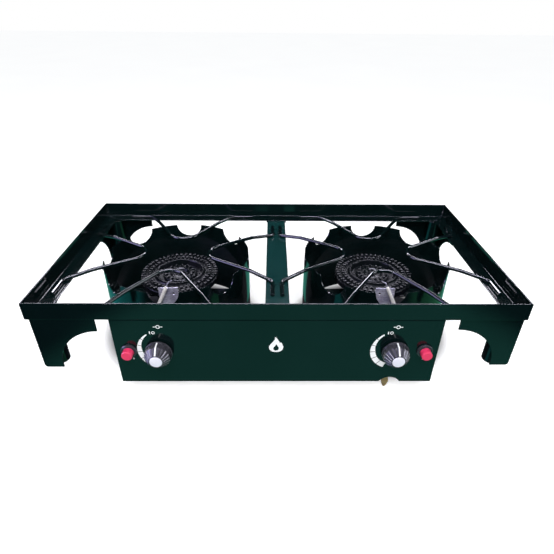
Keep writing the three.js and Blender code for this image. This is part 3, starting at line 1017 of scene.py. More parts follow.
@dataclass
class LegMounts:
    """The corner brackets, folded from sheet, and the leg sockets inside them."""

    fold: float = 2.6
    inner_fold: float = 0.7
    socket: tuple[float, float] = (12.2, 14.0)
    rim: float = 0.5
    steel: float = 2.0

    def bracket(self, node: str) -> None:
        """Finish one bracket: a rounded fold, and eased edges."""
        low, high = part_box(node)
        outer_x = low.x if low.x + high.x < 0 else high.x
        outer_y = low.y if low.y + high.y < 0 else high.y
        shape = Shape.from_node(node, node + "_folded")
        for reach, width in ((0.0, self.fold), (self.steel * MM, self.inner_fold)):
            fold_x = outer_x - math.copysign(reach, outer_x)
            fold_y = outer_y - math.copysign(reach, outer_y)
            shape.bevel_edges(
                lambda mid, way, fold_x=fold_x, fold_y=fold_y:
                abs(way.z) > 0.99 and abs(mid.x - fold_x) < 0.2 * MM
                and abs(mid.y - fold_y) < 0.2 * MM, width, 4)
        shape.soften(0.45, 2).dress(ENAMEL, node)

    def build(self) -> None:
        """Build the four corners."""
        inner, outer = self.socket
        for corner in ("front_left", "front_right", "back_left", "back_right"):
            self.bracket(f"{corner}_leg_bracket")
            node = f"{corner}_leg_socket"
            low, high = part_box(node)
            tall = (high.z - low.z) / MM
            ring = eased([(inner, 0), (outer, 0), (outer, tall), (inner, tall), (inner, 0)],
                         self.rim, 3)
            foot = Vector(((low.x + high.x) / 2, (low.y + high.y) / 2, low.z))
            Shape.turned(node + "_tube", ring, Way.Z, foot, 56).dress(ENAMEL, node)


# ---------------------------------------------------------------- over the burners


@dataclass
class PotSupports:
    """The bent wires that hold a pot, four to a burner, and their welds."""

    welder: Welder
    radius: float = 3.4
    reach: float = 61.0
    front_reach: float = 69.0
    tip_depth: float = 27.0
    tip_bend: float = 29.9
    rail: float = 183.0
    shoulder: float = 141.0
    spread: float = 92.0
    foot: float = 44.0
    level: float = -20.2
    rail_foot: float = -25.2
    beam_foot: float = -27.5
    bend: float = 11.0
    burner_y: float = 200.0
    rim: float = 125.0
    foot_weld: tuple[float, float, float] = (2.6, 2.4, 3.5)

    def splay(self, u: float, reach: float) -> float:
        """How far from its middle line an arm is, at u from the burner's centre."""
        tip = reach - self.tip_depth
        return self.spread * (u - tip) / (self.rail - tip)

    def wire(self, name: str, foot_height: float, reach: float) -> Shape:
        """Bend one wire, with its blunt V pointing to the burner's centre at the origin."""
        arm = [(self.rail, self.spread + self.foot, foot_height),
               (self.rail, self.spread, foot_height),
               (self.shoulder, self.splay(self.shoulder, reach), self.level)]
        tip = (reach - self.tip_depth, 0, self.level)
        line = [(u, -v, z) for u, v, z in arm] + [tip] + arm[::-1]
        bends = [self.bend, self.bend, self.tip_bend, self.bend, self.bend]
        wire = Shape.rod(name, [Vector(point) * MM for point in line], self.radius, bends,
                         sides=20, steps=14)
        return wire.soften(0.6, 2, 60)

    def build(self) -> None:
        """Bend the three kinds of wire, and set four of them over each burner."""
        on_rail = self.wire("rail_wire", self.rail_foot, self.reach)
        on_front = self.wire("front_wire", self.rail_foot, self.front_reach)
        on_beam = self.wire("beam_wire", self.beam_foot, self.reach)
        for side in Side:
            outward = 0 if side is Side.RIGHT else 2
            centre = seat(f"{side.word}_burner", self.burner_y)
            lumps = []
            for word, quarters, pattern in (
                    ("outer", outward, on_rail), ("inner", 2 - outward, on_beam),
                    ("back", 1, on_rail), ("front", 3, on_front)):
                node = f"{side.word}_{word}_wire"
                place = centre @ Matrix.Rotation(quarters * math.pi / 2, 4, "Z")
                pattern.copy(node + "_bent", place).dress(ENAMEL, node, angle=50)
                reach = self.front_reach if pattern is on_front else self.reach
                lumps += self.welds(place, reach, beam=pattern is on_beam)
            self.welder.finish(f"{side.word}_wire_welds", lumps)
        for pattern in (on_rail, on_front, on_beam):
            pattern.discard()

    def welds(self, place: Matrix, reach: float, beam: bool) -> list[Shape]:
        """Weld a wire's feet down, and its arms to the guard's rim.

        Args:
            place: Where the wire is.
            reach: How near the burner's centre it comes.
            beam: Whether its feet are on the centre beam.

        Returns:
            The lumps.
        """
        lumps = []
        beside, under, half = self.foot_weld
        floor = (self.beam_foot if beam else self.rail_foot) - under
        for sign in (-1, 1):
            for v, away in ((12, 1), (self.foot - 7, -1 if beam else 1), (24, -1)):
                u = self.rail + beside * away
                start, end = (place @ (Vector((u, sign * (self.spread + w), floor)) * MM)
                              for w in (v - half, v + half))
                lumps += self.welder.run(start, end, 3, 0.72)
            crossing = place @ (Vector((self.rim, sign * self.splay(self.rim, reach),
                                        self.level - self.radius - 0.4)) * MM)
            lumps += self.welder.run(crossing, crossing, 1, 0.8)
        return lumps


@dataclass
class WindGuards:
    """The scalloped sheet-steel rings round the burners, and the straps across them."""

    outer: float = 137.0
    steel: float = 1.5
    top: float = -23.5
    bottom: float = -172.0
    scallop: float = 26.0
    tunnel: float = 28.0
    tunnel_top: float = -66.0
    strap_under: float = -113.3
    turn_steps: int = 160

    def ring(self) -> Shape:
        """Roll one ring about the origin, and cut its scallops and its tunnel."""
        inner = self.outer - self.steel
        wall = [(inner, self.bottom), (self.outer, self.bottom), (self.outer, self.top),
                (inner, self.top), (inner, self.bottom)]
        ring = Shape.turned("guard_ring", wall, Way.Z, Vector(), self.turn_steps)
        reach = self.outer + 6
        for eighth in range(4):
            way = Matrix.Rotation(eighth * math.pi / 4, 3, "Z") @ Way.X.vector
            start = Vector((0, 0, self.top * MM)) - way * reach * MM
            ring.cut(Shape.bar("scallop", way, start, 2 * reach, self.scallop, 64))
        arch = Vector((0, -reach, self.tunnel_top - self.tunnel)) * MM
        ring.cut(Shape.bar("arch", Way.Y.vector, arch, 50, self.tunnel, 48))
        low = Vector((-self.tunnel, -reach, self.bottom - 5)) * MM
        high = Vector((self.tunnel, -reach + 50, self.tunnel_top - self.tunnel)) * MM
        ring.cut(Shape.block("doorway", low, high))
        return ring.closed_up().soften(0.4, 2, 50)

    def build(self) -> None:
        """Set a ring round each burner, and finish its strap."""
        pattern = self.ring()
        for side in Side:
            node = f"{side.word}_wind_guard"
            pattern.copy(node + "_ring", seat(node)).dress(ENAMEL, node, angle=30)
            refine(f"{side.word}_burner_strap", "bent", ENAMEL, 0.5, 3)
            self.bolt(side)
        pattern.discard()

    def bolt(self, side: Side) -> None:
        """The bolt and washer that hold the burner down on its strap, seen from below."""
        under = seat(f"{side.word}_wind_guard", z=self.strap_under).translation
        down = -Way.Z.vector
        thick, deep = 1.4, 5.2
        washer = Shape.bar("washer", down, under, thick, 8.5, 40).soften(0.3)
        nut = Shape.bar("nut", down, under + down * thick * MM, deep, 7.4, 6).soften(0.5)
        end = under + down * (thick + deep) * MM
        stud = Shape.bar("stud", down, end, 3.0, 3.1, 24).soften(0.6)
        washer.join(nut, stud).named(f"{side.word}_burner_bolt").dress(ZINC)


@dataclass
class Burners:
    """The cast-iron burners: two rings of ribs and ports round a hub."""

    top: float = -60.0
    outer_ribs: int = 48
    inner_ribs: int = 42
    ports: int = 48
    side_ports: int = 24
    hub_studs: int = 16

    def ribs(self, count: int, inner: float, outer: float, width: float, top: float) -> Shape:
        """One ring of ribs, each a rounded bar that points to the centre.

        Args:
            count: How many ribs.
            inner: The radius where they start.
            outer: The radius where they end.
            width: How wide each one is.
            top: The height of their tops.

        Returns:
            The ring.
        """
        rib = Shape.block("rib", Vector((inner, -width / 2, top - 7)) * MM,
                          Vector((outer, width / 2, top)) * MM)
        rib.bevel_edges(lambda mid, way: mid.z > (top - 3) * MM and abs(way.z) < 0.1, 1.3, 2)
        return rib.ring_of(count, Way.Z, Vector())

    def casting(self) -> Shape:
        """Model one burner about the origin."""
        top = self.top
        profile = eased([
            (0, top - 50), (22, top - 50), (22, top - 24), (26, top - 20), (71, top - 20),
            (75, top - 16), (75, top - 6.5), (73, top - 4.8), (49.5, top - 5.2), (47.6, top - 3),
            (46.6, top + 0.4), (44.2, top + 0.4), (43, top - 1.6), (41, top - 11), (33, top - 11),
            (31.5, top - 5.6), (30, top - 4.2), (19, top - 4.2), (17, top - 6), (14, top - 9.5),
            (6, top - 8.5), (5, top - 6), (0, top - 6),
        ], 1.1, 3)
        body = Shape.turned("burner_body", profile, Way.Z, Vector(), 96)
        hole = Shape.bar("port", -Way.Z.vector, Vector((64.3, 0, top + 1)) * MM, 12, 1.5, 10)
        body.cut(hole.ring_of(self.ports, Way.Z, Vector()))
        low_hole = Shape.bar("side_port", -Way.X.vector, Vector((32, 0, top - 6)) * MM, 5, 1.1, 8)
        body.cut(low_hole.ring_of(self.side_ports, Way.Z, Vector()))
        studs = Shape.bar("stud", Way.Z.vector, Vector((26.4, 0, top - 5)) * MM, 4.4, 2.9, 12)
        studs.bevel_edges(lambda mid, _: mid.z > (top - 1) * MM, 1.2, 2)
        studs.ring_of(self.hub_studs, Way.Z, Vector())
        return body.join(self.ribs(self.outer_ribs, 66.4, 73.6, 5.6, top),
                         self.ribs(self.inner_ribs, 55.0, 61.8, 5.2, top), studs)

    def build(self) -> None:
        """Set a casting over each strap."""
        pattern = self.casting()
        for side in Side:
            node = f"{side.word}_burner"
            pattern.copy(node + "_casting", seat(node)).dress(IRON, node, angle=40)
        pattern.discard()


# ---------------------------------------------------------------- panel and controls


@dataclass
class ControlPanel:
    """The folded front sheet, with its printed marks."""

    face: float = 0.4
    ink: float = 0.07
    dial_centre: tuple[float, float] = (-2.0, -92.0)
    dial_radius: float = 38.5
    dial_sweep: tuple[float, float] = (120.0, 250.0)
    dial_widths: tuple[float, float, float] = (1.8, 8.6, 10.0)
    segments: int = 6
    segment_gap: float = 0.04
    segment_steps: int = 6
    off_sign: tuple[float, float] = (-1.6, -44.4)
    low_sign: tuple[float, float] = (-12.4, -56.0)
    spark_z: float = -109.5
    shift: dict[Side, float] = field(default_factory=lambda: {Side.LEFT: 5.0, Side.RIGHT: 0.6})
    sparks: dict[Side, float] = field(default_factory=lambda: {Side.LEFT: 5.2, Side.RIGHT: -0.1})

    def sheet(self) -> None:
        """Finish the sheet: rounded folds, and eased edges and holes."""
        low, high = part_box("control_panel")
        shape = Shape.from_node("control_panel", "control_panel_sheet")
        shape.bevel_edges(
            lambda mid, way: abs(mid.y - low.y) < 0.1 * MM
            and (abs(way.z) > 0.99 and min(abs(mid.x - low.x), abs(mid.x - high.x)) < 0.1 * MM
                 or abs(way.x) > 0.99 and abs(mid.z - high.z) < 0.1 * MM), 1.5, 4)
        shape.soften(0.35, 2).dress(ENAMEL, "control_panel")

    def mark(self, name: str, outline: Sequence[tuple[float, float]]) -> Shape:
        """One printed mark from its outline of (x, z) points."""
        points = [at(x, self.face, z) for x, z in outline]
        return Shape.plate(name, points, Vector((0, -self.ink * MM, 0)))

    def ring(self, x: float, z: float, radius: float, width: float) -> Shape:
        """A printed ring."""
        section = [(radius - width, 0), (radius, 0), (radius, -self.ink),
                   (radius - width, -self.ink), (radius - width, 0)]
        return Shape.turned("ring", section, Way.Y, at(x, self.face, z), 28)

    def dial_width(self, share: float) -> float:
        """How wide the dial's wedge is, from 0 at its thin end to 1."""
        thin, mid, wide = self.dial_widths
        if share < 0.5:
            return thin + (mid - thin) * share * 2
        return mid + (wide - mid) * (share * 2 - 1)

    def dial(self, knob_x: float) -> list[Shape]:
        """The wedge of segments that shows how far a knob is open."""
        cx, cz = knob_x + self.dial_centre[0], self.dial_centre[1]
        start, end = self.dial_sweep
        drawn = []
        for index in range(self.segments):
            arc = []
            for step in range(self.segment_steps + 1):
                along = (1 - 2 * self.segment_gap) * step / self.segment_steps
                share = (index + self.segment_gap + along) / self.segments
                angle = math.radians(start + (end - start) * share)
                arc.append((math.cos(angle), math.sin(angle), self.dial_width(share)))
            outer = [(cx + self.dial_radius * c, cz + self.dial_radius * s) for c, s, _ in arc]
            inner = [(cx + (self.dial_radius - w) * c, cz + (self.dial_radius - w) * s)
                     for c, s, w in reversed(arc)]
            drawn.append(self.mark("segment", outer + inner))
        return drawn

    def stroke(self, x: float, z: float, width: float, height: float) -> Shape:
        """A printed dash or upright bar, from its middle."""
        corners = ((-1, -1), (1, -1), (1, 1), (-1, 1))
        return self.mark("stroke", [(x + u * width / 2, z + w * height / 2) for u, w in corners])

    def signs(self, knob_x: float) -> list[Shape]:
        """A ring between dashes over a knob, and a bar and ring at its dial's thin end."""
        off_x, off_z = knob_x + self.off_sign[0], self.off_sign[1]
        low_x, low_z = knob_x + self.low_sign[0], self.low_sign[1]
        return [
            self.ring(off_x, off_z, 3.4, 1.15),
            *(self.stroke(off_x + way * 5.8, off_z, 3.2, 1.408) for way in (-1, 1)),
            self.stroke(low_x - 3.4, low_z, 1.6, 5.2),
            self.ring(low_x + 2.0, low_z, 2.8, 1.05),
        ]

    def spark(self, x: float, z: float) -> Shape:
        """A small spark under an igniter."""
        return self.mark("spark", [(x + u, z + w) for u, w in [
            (0.6, 2.4), (-1.5, -0.2), (-0.2, -0.2), (-0.7, -2.4), (1.5, 0.4), (0.2, 0.4)]])

    def flame(self) -> Shape:
        """A plain flame in the middle of the panel, with a smaller tongue left open in it."""
        outer = [(0, -15), (6.5, -14), (11, -9.5), (11.8, -3.5), (9.8, 2.2), (7.6, 6.0),
                 (6.4, 2.4), (5.2, 7.0), (2.6, 11.8), (-1.2, 17), (-1.6, 11.2), (-4.6, 6.6),
                 (-8.6, 1.6), (-11.4, -3.6), (-10.8, -9.4), (-6.4, -14), (0, -15)]
        inner = [(0, -12.2), (3.4, -11), (4.8, -7.4), (3.4, -3.4), (0.4, 1.6), (-1.2, -2.0),
                 (-3.8, -5.2), (-4.4, -8.8), (-2.8, -11.6), (0, -12.2)]
        low = (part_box("control_panel")[1].z - DATUM.z) / MM - 49.6
        parts = []
        for name, corners, front in (("flame", outer, 0.0), ("tongue", inner, 1.0)):
            places = [at(x - 2.4, self.face + front, z + low)
                      for x, z in eased(corners, 4.0, 4)[:-1]]
            depth = (self.ink + 2 * front) * MM
            parts.append(Shape.plate(name, places, Vector((0, -depth, 0))))
        return parts[0].cut(parts[1])

    def build(self) -> None:
        """Build the sheet and print it."""
        self.sheet()
        for side in Side:
            knob = middle(f"{side.word}_knob")
            igniter = middle(f"{side.word}_igniter_button")
            marks = self.dial(knob.x + self.shift[side]) + self.signs(knob.x + self.shift[side])
            marks.append(self.spark(igniter.x + self.sparks[side], self.spark_z))
            marks[0].join(*marks[1:]).named(f"{side.word}_dial_marks").dress(INK)
        self.flame().named("panel_flame_mark").dress(INK)


@dataclass
class Knobs:
    """The fluted knobs, their pointers and bright caps, on the valve stems."""

    flutes: int = 20
    flute_circle: float = 23.3
    flute_radius: float = 2.7
    taper_start: tuple[float, float] = (23.2, -15.7)
    taper_way: tuple[float, float] = (-0.653, -0.758)
    taper_radius: float = 2.0
    axis_z: float = -93.0

    def grip(self) -> Shape:
        """Turn one knob about the origin, and cut its flutes."""
        profile = eased([
            (0, -25.3), (10.3, -25.3, 0), (10.3, -27, 0.3), (12.3, -27, 0.8), (20.4, -17.6, 1.6),
            (21.4, -6.6, 0.4), (22.3, -6.4, 0.4), (22.5, -3.5, 0.5), (3.3, -3.5, 0),
            (3.3, -20.5, 0), (0, -20.5),
        ], 0.4, 4)
        body = Shape.turned("knob_body", profile, Way.Y, Vector(), 120)
        half = math.pi / self.flutes
        outward, along = Vector((math.sin(half), 0, math.cos(half))), Way.Y.vector
        place = (self.flute_circle * outward - 30 * along) * MM
        groove = Shape.bar("flute", along, place, 23.4, self.flute_radius, 20)
        body.cut(groove.ring_of(self.flutes, Way.Y, Vector()))
        start, down = (r * outward + y * along for r, y in (self.taper_start, self.taper_way))
        taper = Shape.bar("taper_flute", down, start * MM, 17.5, self.taper_radius, 20)
        body.cut(taper.ring_of(self.flutes, Way.Y, Vector()))
        return body.closed_up().soften(0.3, 2, 38)

    def pointer(self) -> Shape:
        """The raised white line along the top of the knob and down its chamfer."""
        side = eased([(-4.6, 22.3), (-17.3, 21.5, 2.0), (-26.9, 12.9), (-26.5, 11.2),
                      (-17.0, 19.8, 2.0), (-4.6, 20.4), (-4.6, 22.3)], 0.25, 3)[:-1]
        outline = [Vector((-1.05, y, z)) * MM for y, z in side]
        return Shape.plate("pointer", outline, Vector((2.1 * MM, 0, 0))).soften(0.25, 2, 60)

    def cap(self) -> Shape:
        """The cap: a slightly crowned disc with a rounded edge."""
        profile = eased([(0, -28.0), (5, -27.95, 4), (9.2, -27.7, 0.8), (10, -27.0, 0.5),
                         (10, -25.6, 0.2), (0, -25.6)], 0.4, 4)
        return Shape.turned("cap", profile, Way.Y, Vector(), 64)

    def build(self) -> None:
        """Set a knob on each stem."""
        grip, pointer, cap = self.grip(), self.pointer(), self.cap()
        for side in Side:
            knob = f"{side.word}_knob"
            place = seat(knob, 0, self.axis_z)
            grip.copy(f"{knob}_grip", place).dress(PLASTIC, knob, body=knob)
            pointer.copy(f"{knob}_pointer", place).dress(INK, body=knob)
            disc = SpunCap(f"spun_{side.word}_cap", "cap_metal", centre=tuple(place.translation))
            cap.copy(f"{knob}_disc", place).dress(disc, f"{knob}_cap", body=knob)
            refine(f"{side.word}_valve_stem", "turned", BRASS, 0.4, body=knob)
        for shape in (grip, pointer, cap):
            shape.discard()


@dataclass
class Igniters:
    """The push igniters: red buttons in threaded black bodies."""

    axis_z: float = -92.5
    thread_pitch: float = 1.6
    threads: int = 17

    def body(self) -> Shape:
        """Turn the body, its barrel threaded behind the panel."""
        thread = []
        for index in range(self.threads):
            y = 3.0 + index * self.thread_pitch
            thread += [(9.9, y), (9.9, y + 0.5), (9.35, y + 0.9), (9.35, y + 1.2)]
        profile = [(9.05, -4), (9.6, -4), (9.9, -3.7), *thread, (9.9, 31.5), (9.9, 35.4),
                   (9.3, 36), (3, 36), (3, 41.4), (2.5, 42), (0, 42), (0, 14), (9.05, 14),
                   (9.05, -4)]
        return Shape.turned("igniter_body", profile, Way.Y, Vector(), 48)

    def nut(self) -> Shape:
        """Turn the front nut, and notch its rim for grip."""
        profile = eased([(10.2, -3.9), (12.0, -3.9, 0.5), (13.0, -2.9, 0.4), (13.0, 0.1, 0.2),
                         (10.2, 0.1, 0.2), (10.2, -3.9)], 0.3, 3)
        ring = Shape.turned("igniter_nut", profile, Way.Y, Vector(), 96)
        notch = Shape.bar("notch", Way.Y.vector, Vector((13.5, -6, 0)) * MM, 9, 0.9, 10)
        return ring.cut(notch.ring_of(24, Way.Y, Vector()))

    def button(self) -> Shape:
        """Turn the button, with a rounded rim and a shallow dish in its face."""
        profile = eased([(0, -14.55), (4.6, -14.65, 3), (6.6, -15.0, 1.2), (8.75, -14.2, 1.8),
                         (8.75, 3, 0.3), (3, 3, 0.2), (3, 7, 0.4), (0, 7)], 0.5, 5)
        return Shape.turned("igniter_button", profile, Way.Y, Vector(), 56)

    def build(self) -> None:
        """Set an igniter at each end of the panel."""
        kinds = (("body", self.body(), PLASTIC, False), ("nut", self.nut(), PLASTIC, False),
                 ("button", self.button(), RED, True))
        for side in Side:
            place = seat(f"{side.word}_igniter_button", 0, self.axis_z)
            for word, pattern, finish, moves in kinds:
                node = f"{side.word}_igniter_{word}"
                pattern.copy(node + "_turned", place).dress(
                    finish, node, body=node if moves else "root")
        for _, pattern, _, _ in kinds:
            pattern.discard()


@dataclass
class Electrodes:
    """The spark electrodes, each on its plated bracket, with a lead to its igniter."""

    y: float = 111.0
    top: tuple[float, float] = (6.0, -41.0)
    lean: float = 25.0
    length: float = 44.0

    def sleeve(self) -> Shape:
        """Turn the ceramic sleeve, hanging down from the origin."""
        profile = eased([(0, -44), (2.9, -44, 0.4), (3.4, -43, 0.4), (3.4, -16.2, 0.3),
                         (3.0, -15.6, 0.2), (3.0, -14.0, 0.2), (3.4, -13.4, 0.3), (3.4, -4.5, 1),
                         (2.3, -0.3, 0.4), (0.9, 0, 0.1), (0, 0)], 0.4, 3)
        return Shape.turned("electrode_sleeve", profile, Way.Z, Vector(), 40)

    def lead(self, name: str, side: Side) -> Shape:
        """Draw the lead from the sleeve's foot to the igniter, as a smooth line."""
        sign = side.value
        centre = middle(f"{side.word}_burner").x
        igniter = middle(f"{side.word}_igniter_body").x * sign - centre * sign
        tilt = math.radians(self.lean)
        reach = self.length + 1
        foot = (self.top[0] + math.sin(tilt) * reach, self.y, self.top[1] - math.cos(tilt) * reach)
        points = [foot, (foot[0] + 3, self.y - 3, foot[2] - 12), (22, 86, -112), (20, 62, -115),
                  (33, 50, -106), (igniter - 2, 53, -95.5), (igniter, 42.4, -92.5)]
        line = bpy.data.curves.new(name, "CURVE")
        line.dimensions = "3D"
        spline = line.splines.new("BEZIER")
        spline.bezier_points.add(len(points) - 1)
        for handle, (u, y, z) in zip(spline.bezier_points, points):
            handle.co = at(centre + sign * u, y, z)
            handle.handle_left_type = handle.handle_right_type = "AUTO"
        spline.resolution_u = 14
        line.bevel_depth = 1.5 * MM
        line.bevel_resolution = 3
        line.use_fill_caps = True
        focus(linked(name, line))
        bpy.ops.object.convert(target="MESH")
        return Shape(bpy.context.object, name).closed_up()

    def build(self) -> None:
        """Set an electrode in front of each burner."""
        sleeve = self.sleeve()
        for side in Side:
            word, sign = side.word, side.value
            centre = middle(f"{word}_burner").x
            place = (Matrix.Translation(at(centre + sign * self.top[0], self.y, self.top[1]))
                     @ Matrix.Rotation(-sign * math.radians(self.lean), 4, "Y"))
            sleeve.copy(f"{word}_electrode_sleeve", place).dress(GLAZE, f"{word}_electrode")
            refine(f"{word}_electrode_bracket", "pressed", ZINC, 0.4, 3)
            x, z = self.top
            tip = [at(centre + sign * u, y, h) for u, y, h in (
                (x - 0.3, self.y, z + 0.5), (x - 4, self.y, z + 9), (x - 8, self.y + 12, z + 5))]
            Shape.rod(f"{word}_spark_wire", tip, 0.9, [3.0], 12, 6).dress(
                ZINC, f"{word}_spark_tip", angle=60)
            name = f"{word}_ignition_lead"
            self.lead(name + "_sleeved", side).dress(SLEEVE, name, angle=60)
        sleeve.discard()


@dataclass
class GasTrain:
    """The gas's way in: inlet, manifold pipe, valves, jets, mixing tubes and air shutters."""

    axis_z: float = -93.0
    pipe_y: float = 22.0
    pipe_z: float = -115.0
    tube_front: float = 52.0

    def windows(self) -> list[Shape]:
        """The two blocks that cut the air windows, one to each side of the axis."""
        front = self.tube_front
        return [Shape.block("window", Vector((low, front - 5, -5)) * MM,
                            Vector((high, front + 4, 5)) * MM)
                for low, high in ((9.5, 16.5), (-16.5, -9.5))]

    def mixing_tube(self) -> Shape:
        """Cast the tapering tube, with a square flange round its mouth."""
        f = self.tube_front
        profile = eased([
            (8, f), (19, f, 0.5), (19, f + 8, 1.5), (9.5, f + 28, 9), (11, 177.5, 0.4),
            (9.2, 177.5, 0.4), (7.7, f + 28, 9), (17.2, f + 8, 1.2), (17.2, f + 1.8, 0.3),
            (8, f + 1.8, 0.3), (8, f),
        ], 0.4, 5)
        return Shape.turned("mixing_tube", profile, Way.Y, Vector(), 56).cut(*self.windows())

    def shutter(self) -> Shape:
        """Press the turning cap, with the same windows."""
        f = self.tube_front - 0.3
        profile = eased([
            (7, f - 1.5, 0.3), (20.8, f - 1.5, 1.2), (20.8, f + 6.3, 0.3), (19.3, f + 6.3, 0.3),
            (19.3, f, 0.3), (7, f, 0.2), (7, f - 1.5, 0.3),
        ], 0.3, 4)
        return Shape.turned("air_shutter", profile, Way.Y, Vector(), 72).cut(*self.windows())

    def valve(self) -> Shape:
        """Turn the valve's body, with a hexagon behind the panel and a boss on the pipe."""
        profile = eased([
            (3.3, 2.2, 0.2), (9, 2.2, 0.5), (9, 9, 0.3), (8.4, 9.6, 0.2), (8.4, 32.5, 0.3),
            (8, 34, 0.4), (8, 40, 0.6), (0, 40), (0, 15), (3.3, 15), (3.3, 2.2, 0.2),
        ], 0.3, 3)
        body = Shape.turned("valve_body", profile, Way.Y, Vector(), 48)
        hexagon = Shape.bar("hexagon", Way.Y.vector, Vector((0, 10, 0)) * MM, 22, 11, 6)
        hexagon.soften(0.7, 3, 20)
        boss = Shape.bar("boss", Way.Z.vector, Vector((0, self.pipe_y, -15.7)) * MM, 12, 6, 32)
        return body.join(hexagon, boss.soften(0.5))

    def pipe(self) -> None:
        """Draw the manifold pipe, with a pressed cap at each end."""
        low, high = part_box("manifold_pipe")
        half = (high.x - low.x) / 2 / MM
        cap = [(0, half), (5.6, half, 1.2), (6.5, half - 0.6, 0.6), (6.5, half - 9, 0.3),
               (6, half - 9.5, 0.2)]
        other = [(corner[0], -corner[1], *corner[2:]) for corner in cap]
        profile = eased(other + cap[::-1], 0.4, 3)
        Shape.turned("manifold_pipe_drawn", profile, Way.X, at(0, self.pipe_y, self.pipe_z),
                     40).dress(ZINC, "manifold_pipe")
        refine("pipe_bracket", "bent", ZINC, 0.4, 3)

    def inlet(self) -> None:
        """Turn the inlet's stub, and set its hexagon under the pipe."""
        low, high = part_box("gas_inlet")
        foot = Vector(((low.x + high.x) / 2, (low.y + high.y) / 2, low.z))
        tall = (high.z - low.z) / MM
        profile = eased([
            (0, 0), (2.6, 0, 0.4), (5, 6, 0.5), (5, 10, 0.2), (6.4, 11, 0.4), (6.4, 15, 0.4),
            (5, 16, 0.2), (5, 22, 0.1), (4.5, 23, 0.1), (5, 24, 0.1), (4.5, 25, 0.1), (5, 26, 0.1),
            (5, tall - 10), (0, tall - 10)], 0.3, 3)
        stub = Shape.turned("inlet_stub", profile, Way.Z, foot, 48)
        collar = Shape.bar("inlet_hexagon", Way.Z.vector, foot + Way.Z.vector * (tall - 12) * MM,
                           12, 8.5, 6).soften(0.7, 3, 20)
        stub.join(collar).named("gas_inlet_fitting").dress(BRASS, "gas_inlet")

    def build(self) -> None:
        """Build the pipe, and one valve, jet, tube and shutter for each burner."""
        self.pipe()
        self.inlet()
        patterns = (("mixing_tube", self.mixing_tube(), IRON, False),
                    ("air_shutter", self.shutter(), ZINC, True),
                    ("valve", self.valve(), BRASS, False))
        for side in Side:
            place = seat(f"{side.word}_burner", 0, self.axis_z)
            for word, pattern, finish, moves in patterns:
                node = f"{side.word}_{word}"
                pattern.copy(node + "_made", place).dress(
                    finish, node, body=node if moves else "root")
            refine(f"{side.word}_jet", "turned", BRASS, 0.3)
        for _, pattern, _, _ in patterns:
            pattern.discard()


# ---------------------------------------------------------------- the studio


class Use(Enum):
    """What a softbox is for: light on matt surfaces, or a highlight on glossy ones."""

    LIGHT = "light"
    HIGHLIGHT = "highlight"


@dataclass(frozen=True)
class Softbox:
    """One soft light: where it hangs and looks, how large it is and what it is for."""

    name: str
    place: tuple[float, float, float]
    aim: tuple[float, float, float]
    size: tuple[float, float]
    watts: float
    colour: tuple[float, float, float] = (1.0, 1.0, 1.0)
    use: Use = Use.HIGHLIGHT

    def hang(self) -> None:
        """Put the light up."""
        lamp = bpy.data.lights.new(self.name, "AREA")
        lamp.shape = "RECTANGLE"
        lamp.size, lamp.size_y = self.size
        lamp.energy = self.watts
        lamp.color = self.colour
        thing = linked(self.name, lamp)
        thing.location = self.place
        way = Vector(self.aim) - Vector(self.place)
        thing.rotation_euler = way.to_track_quat("-Z", "Y").to_euler()
        thing.visible_diffuse = self.use is Use.LIGHT
        thing.visible_glossy = self.use is Use.HIGHLIGHT


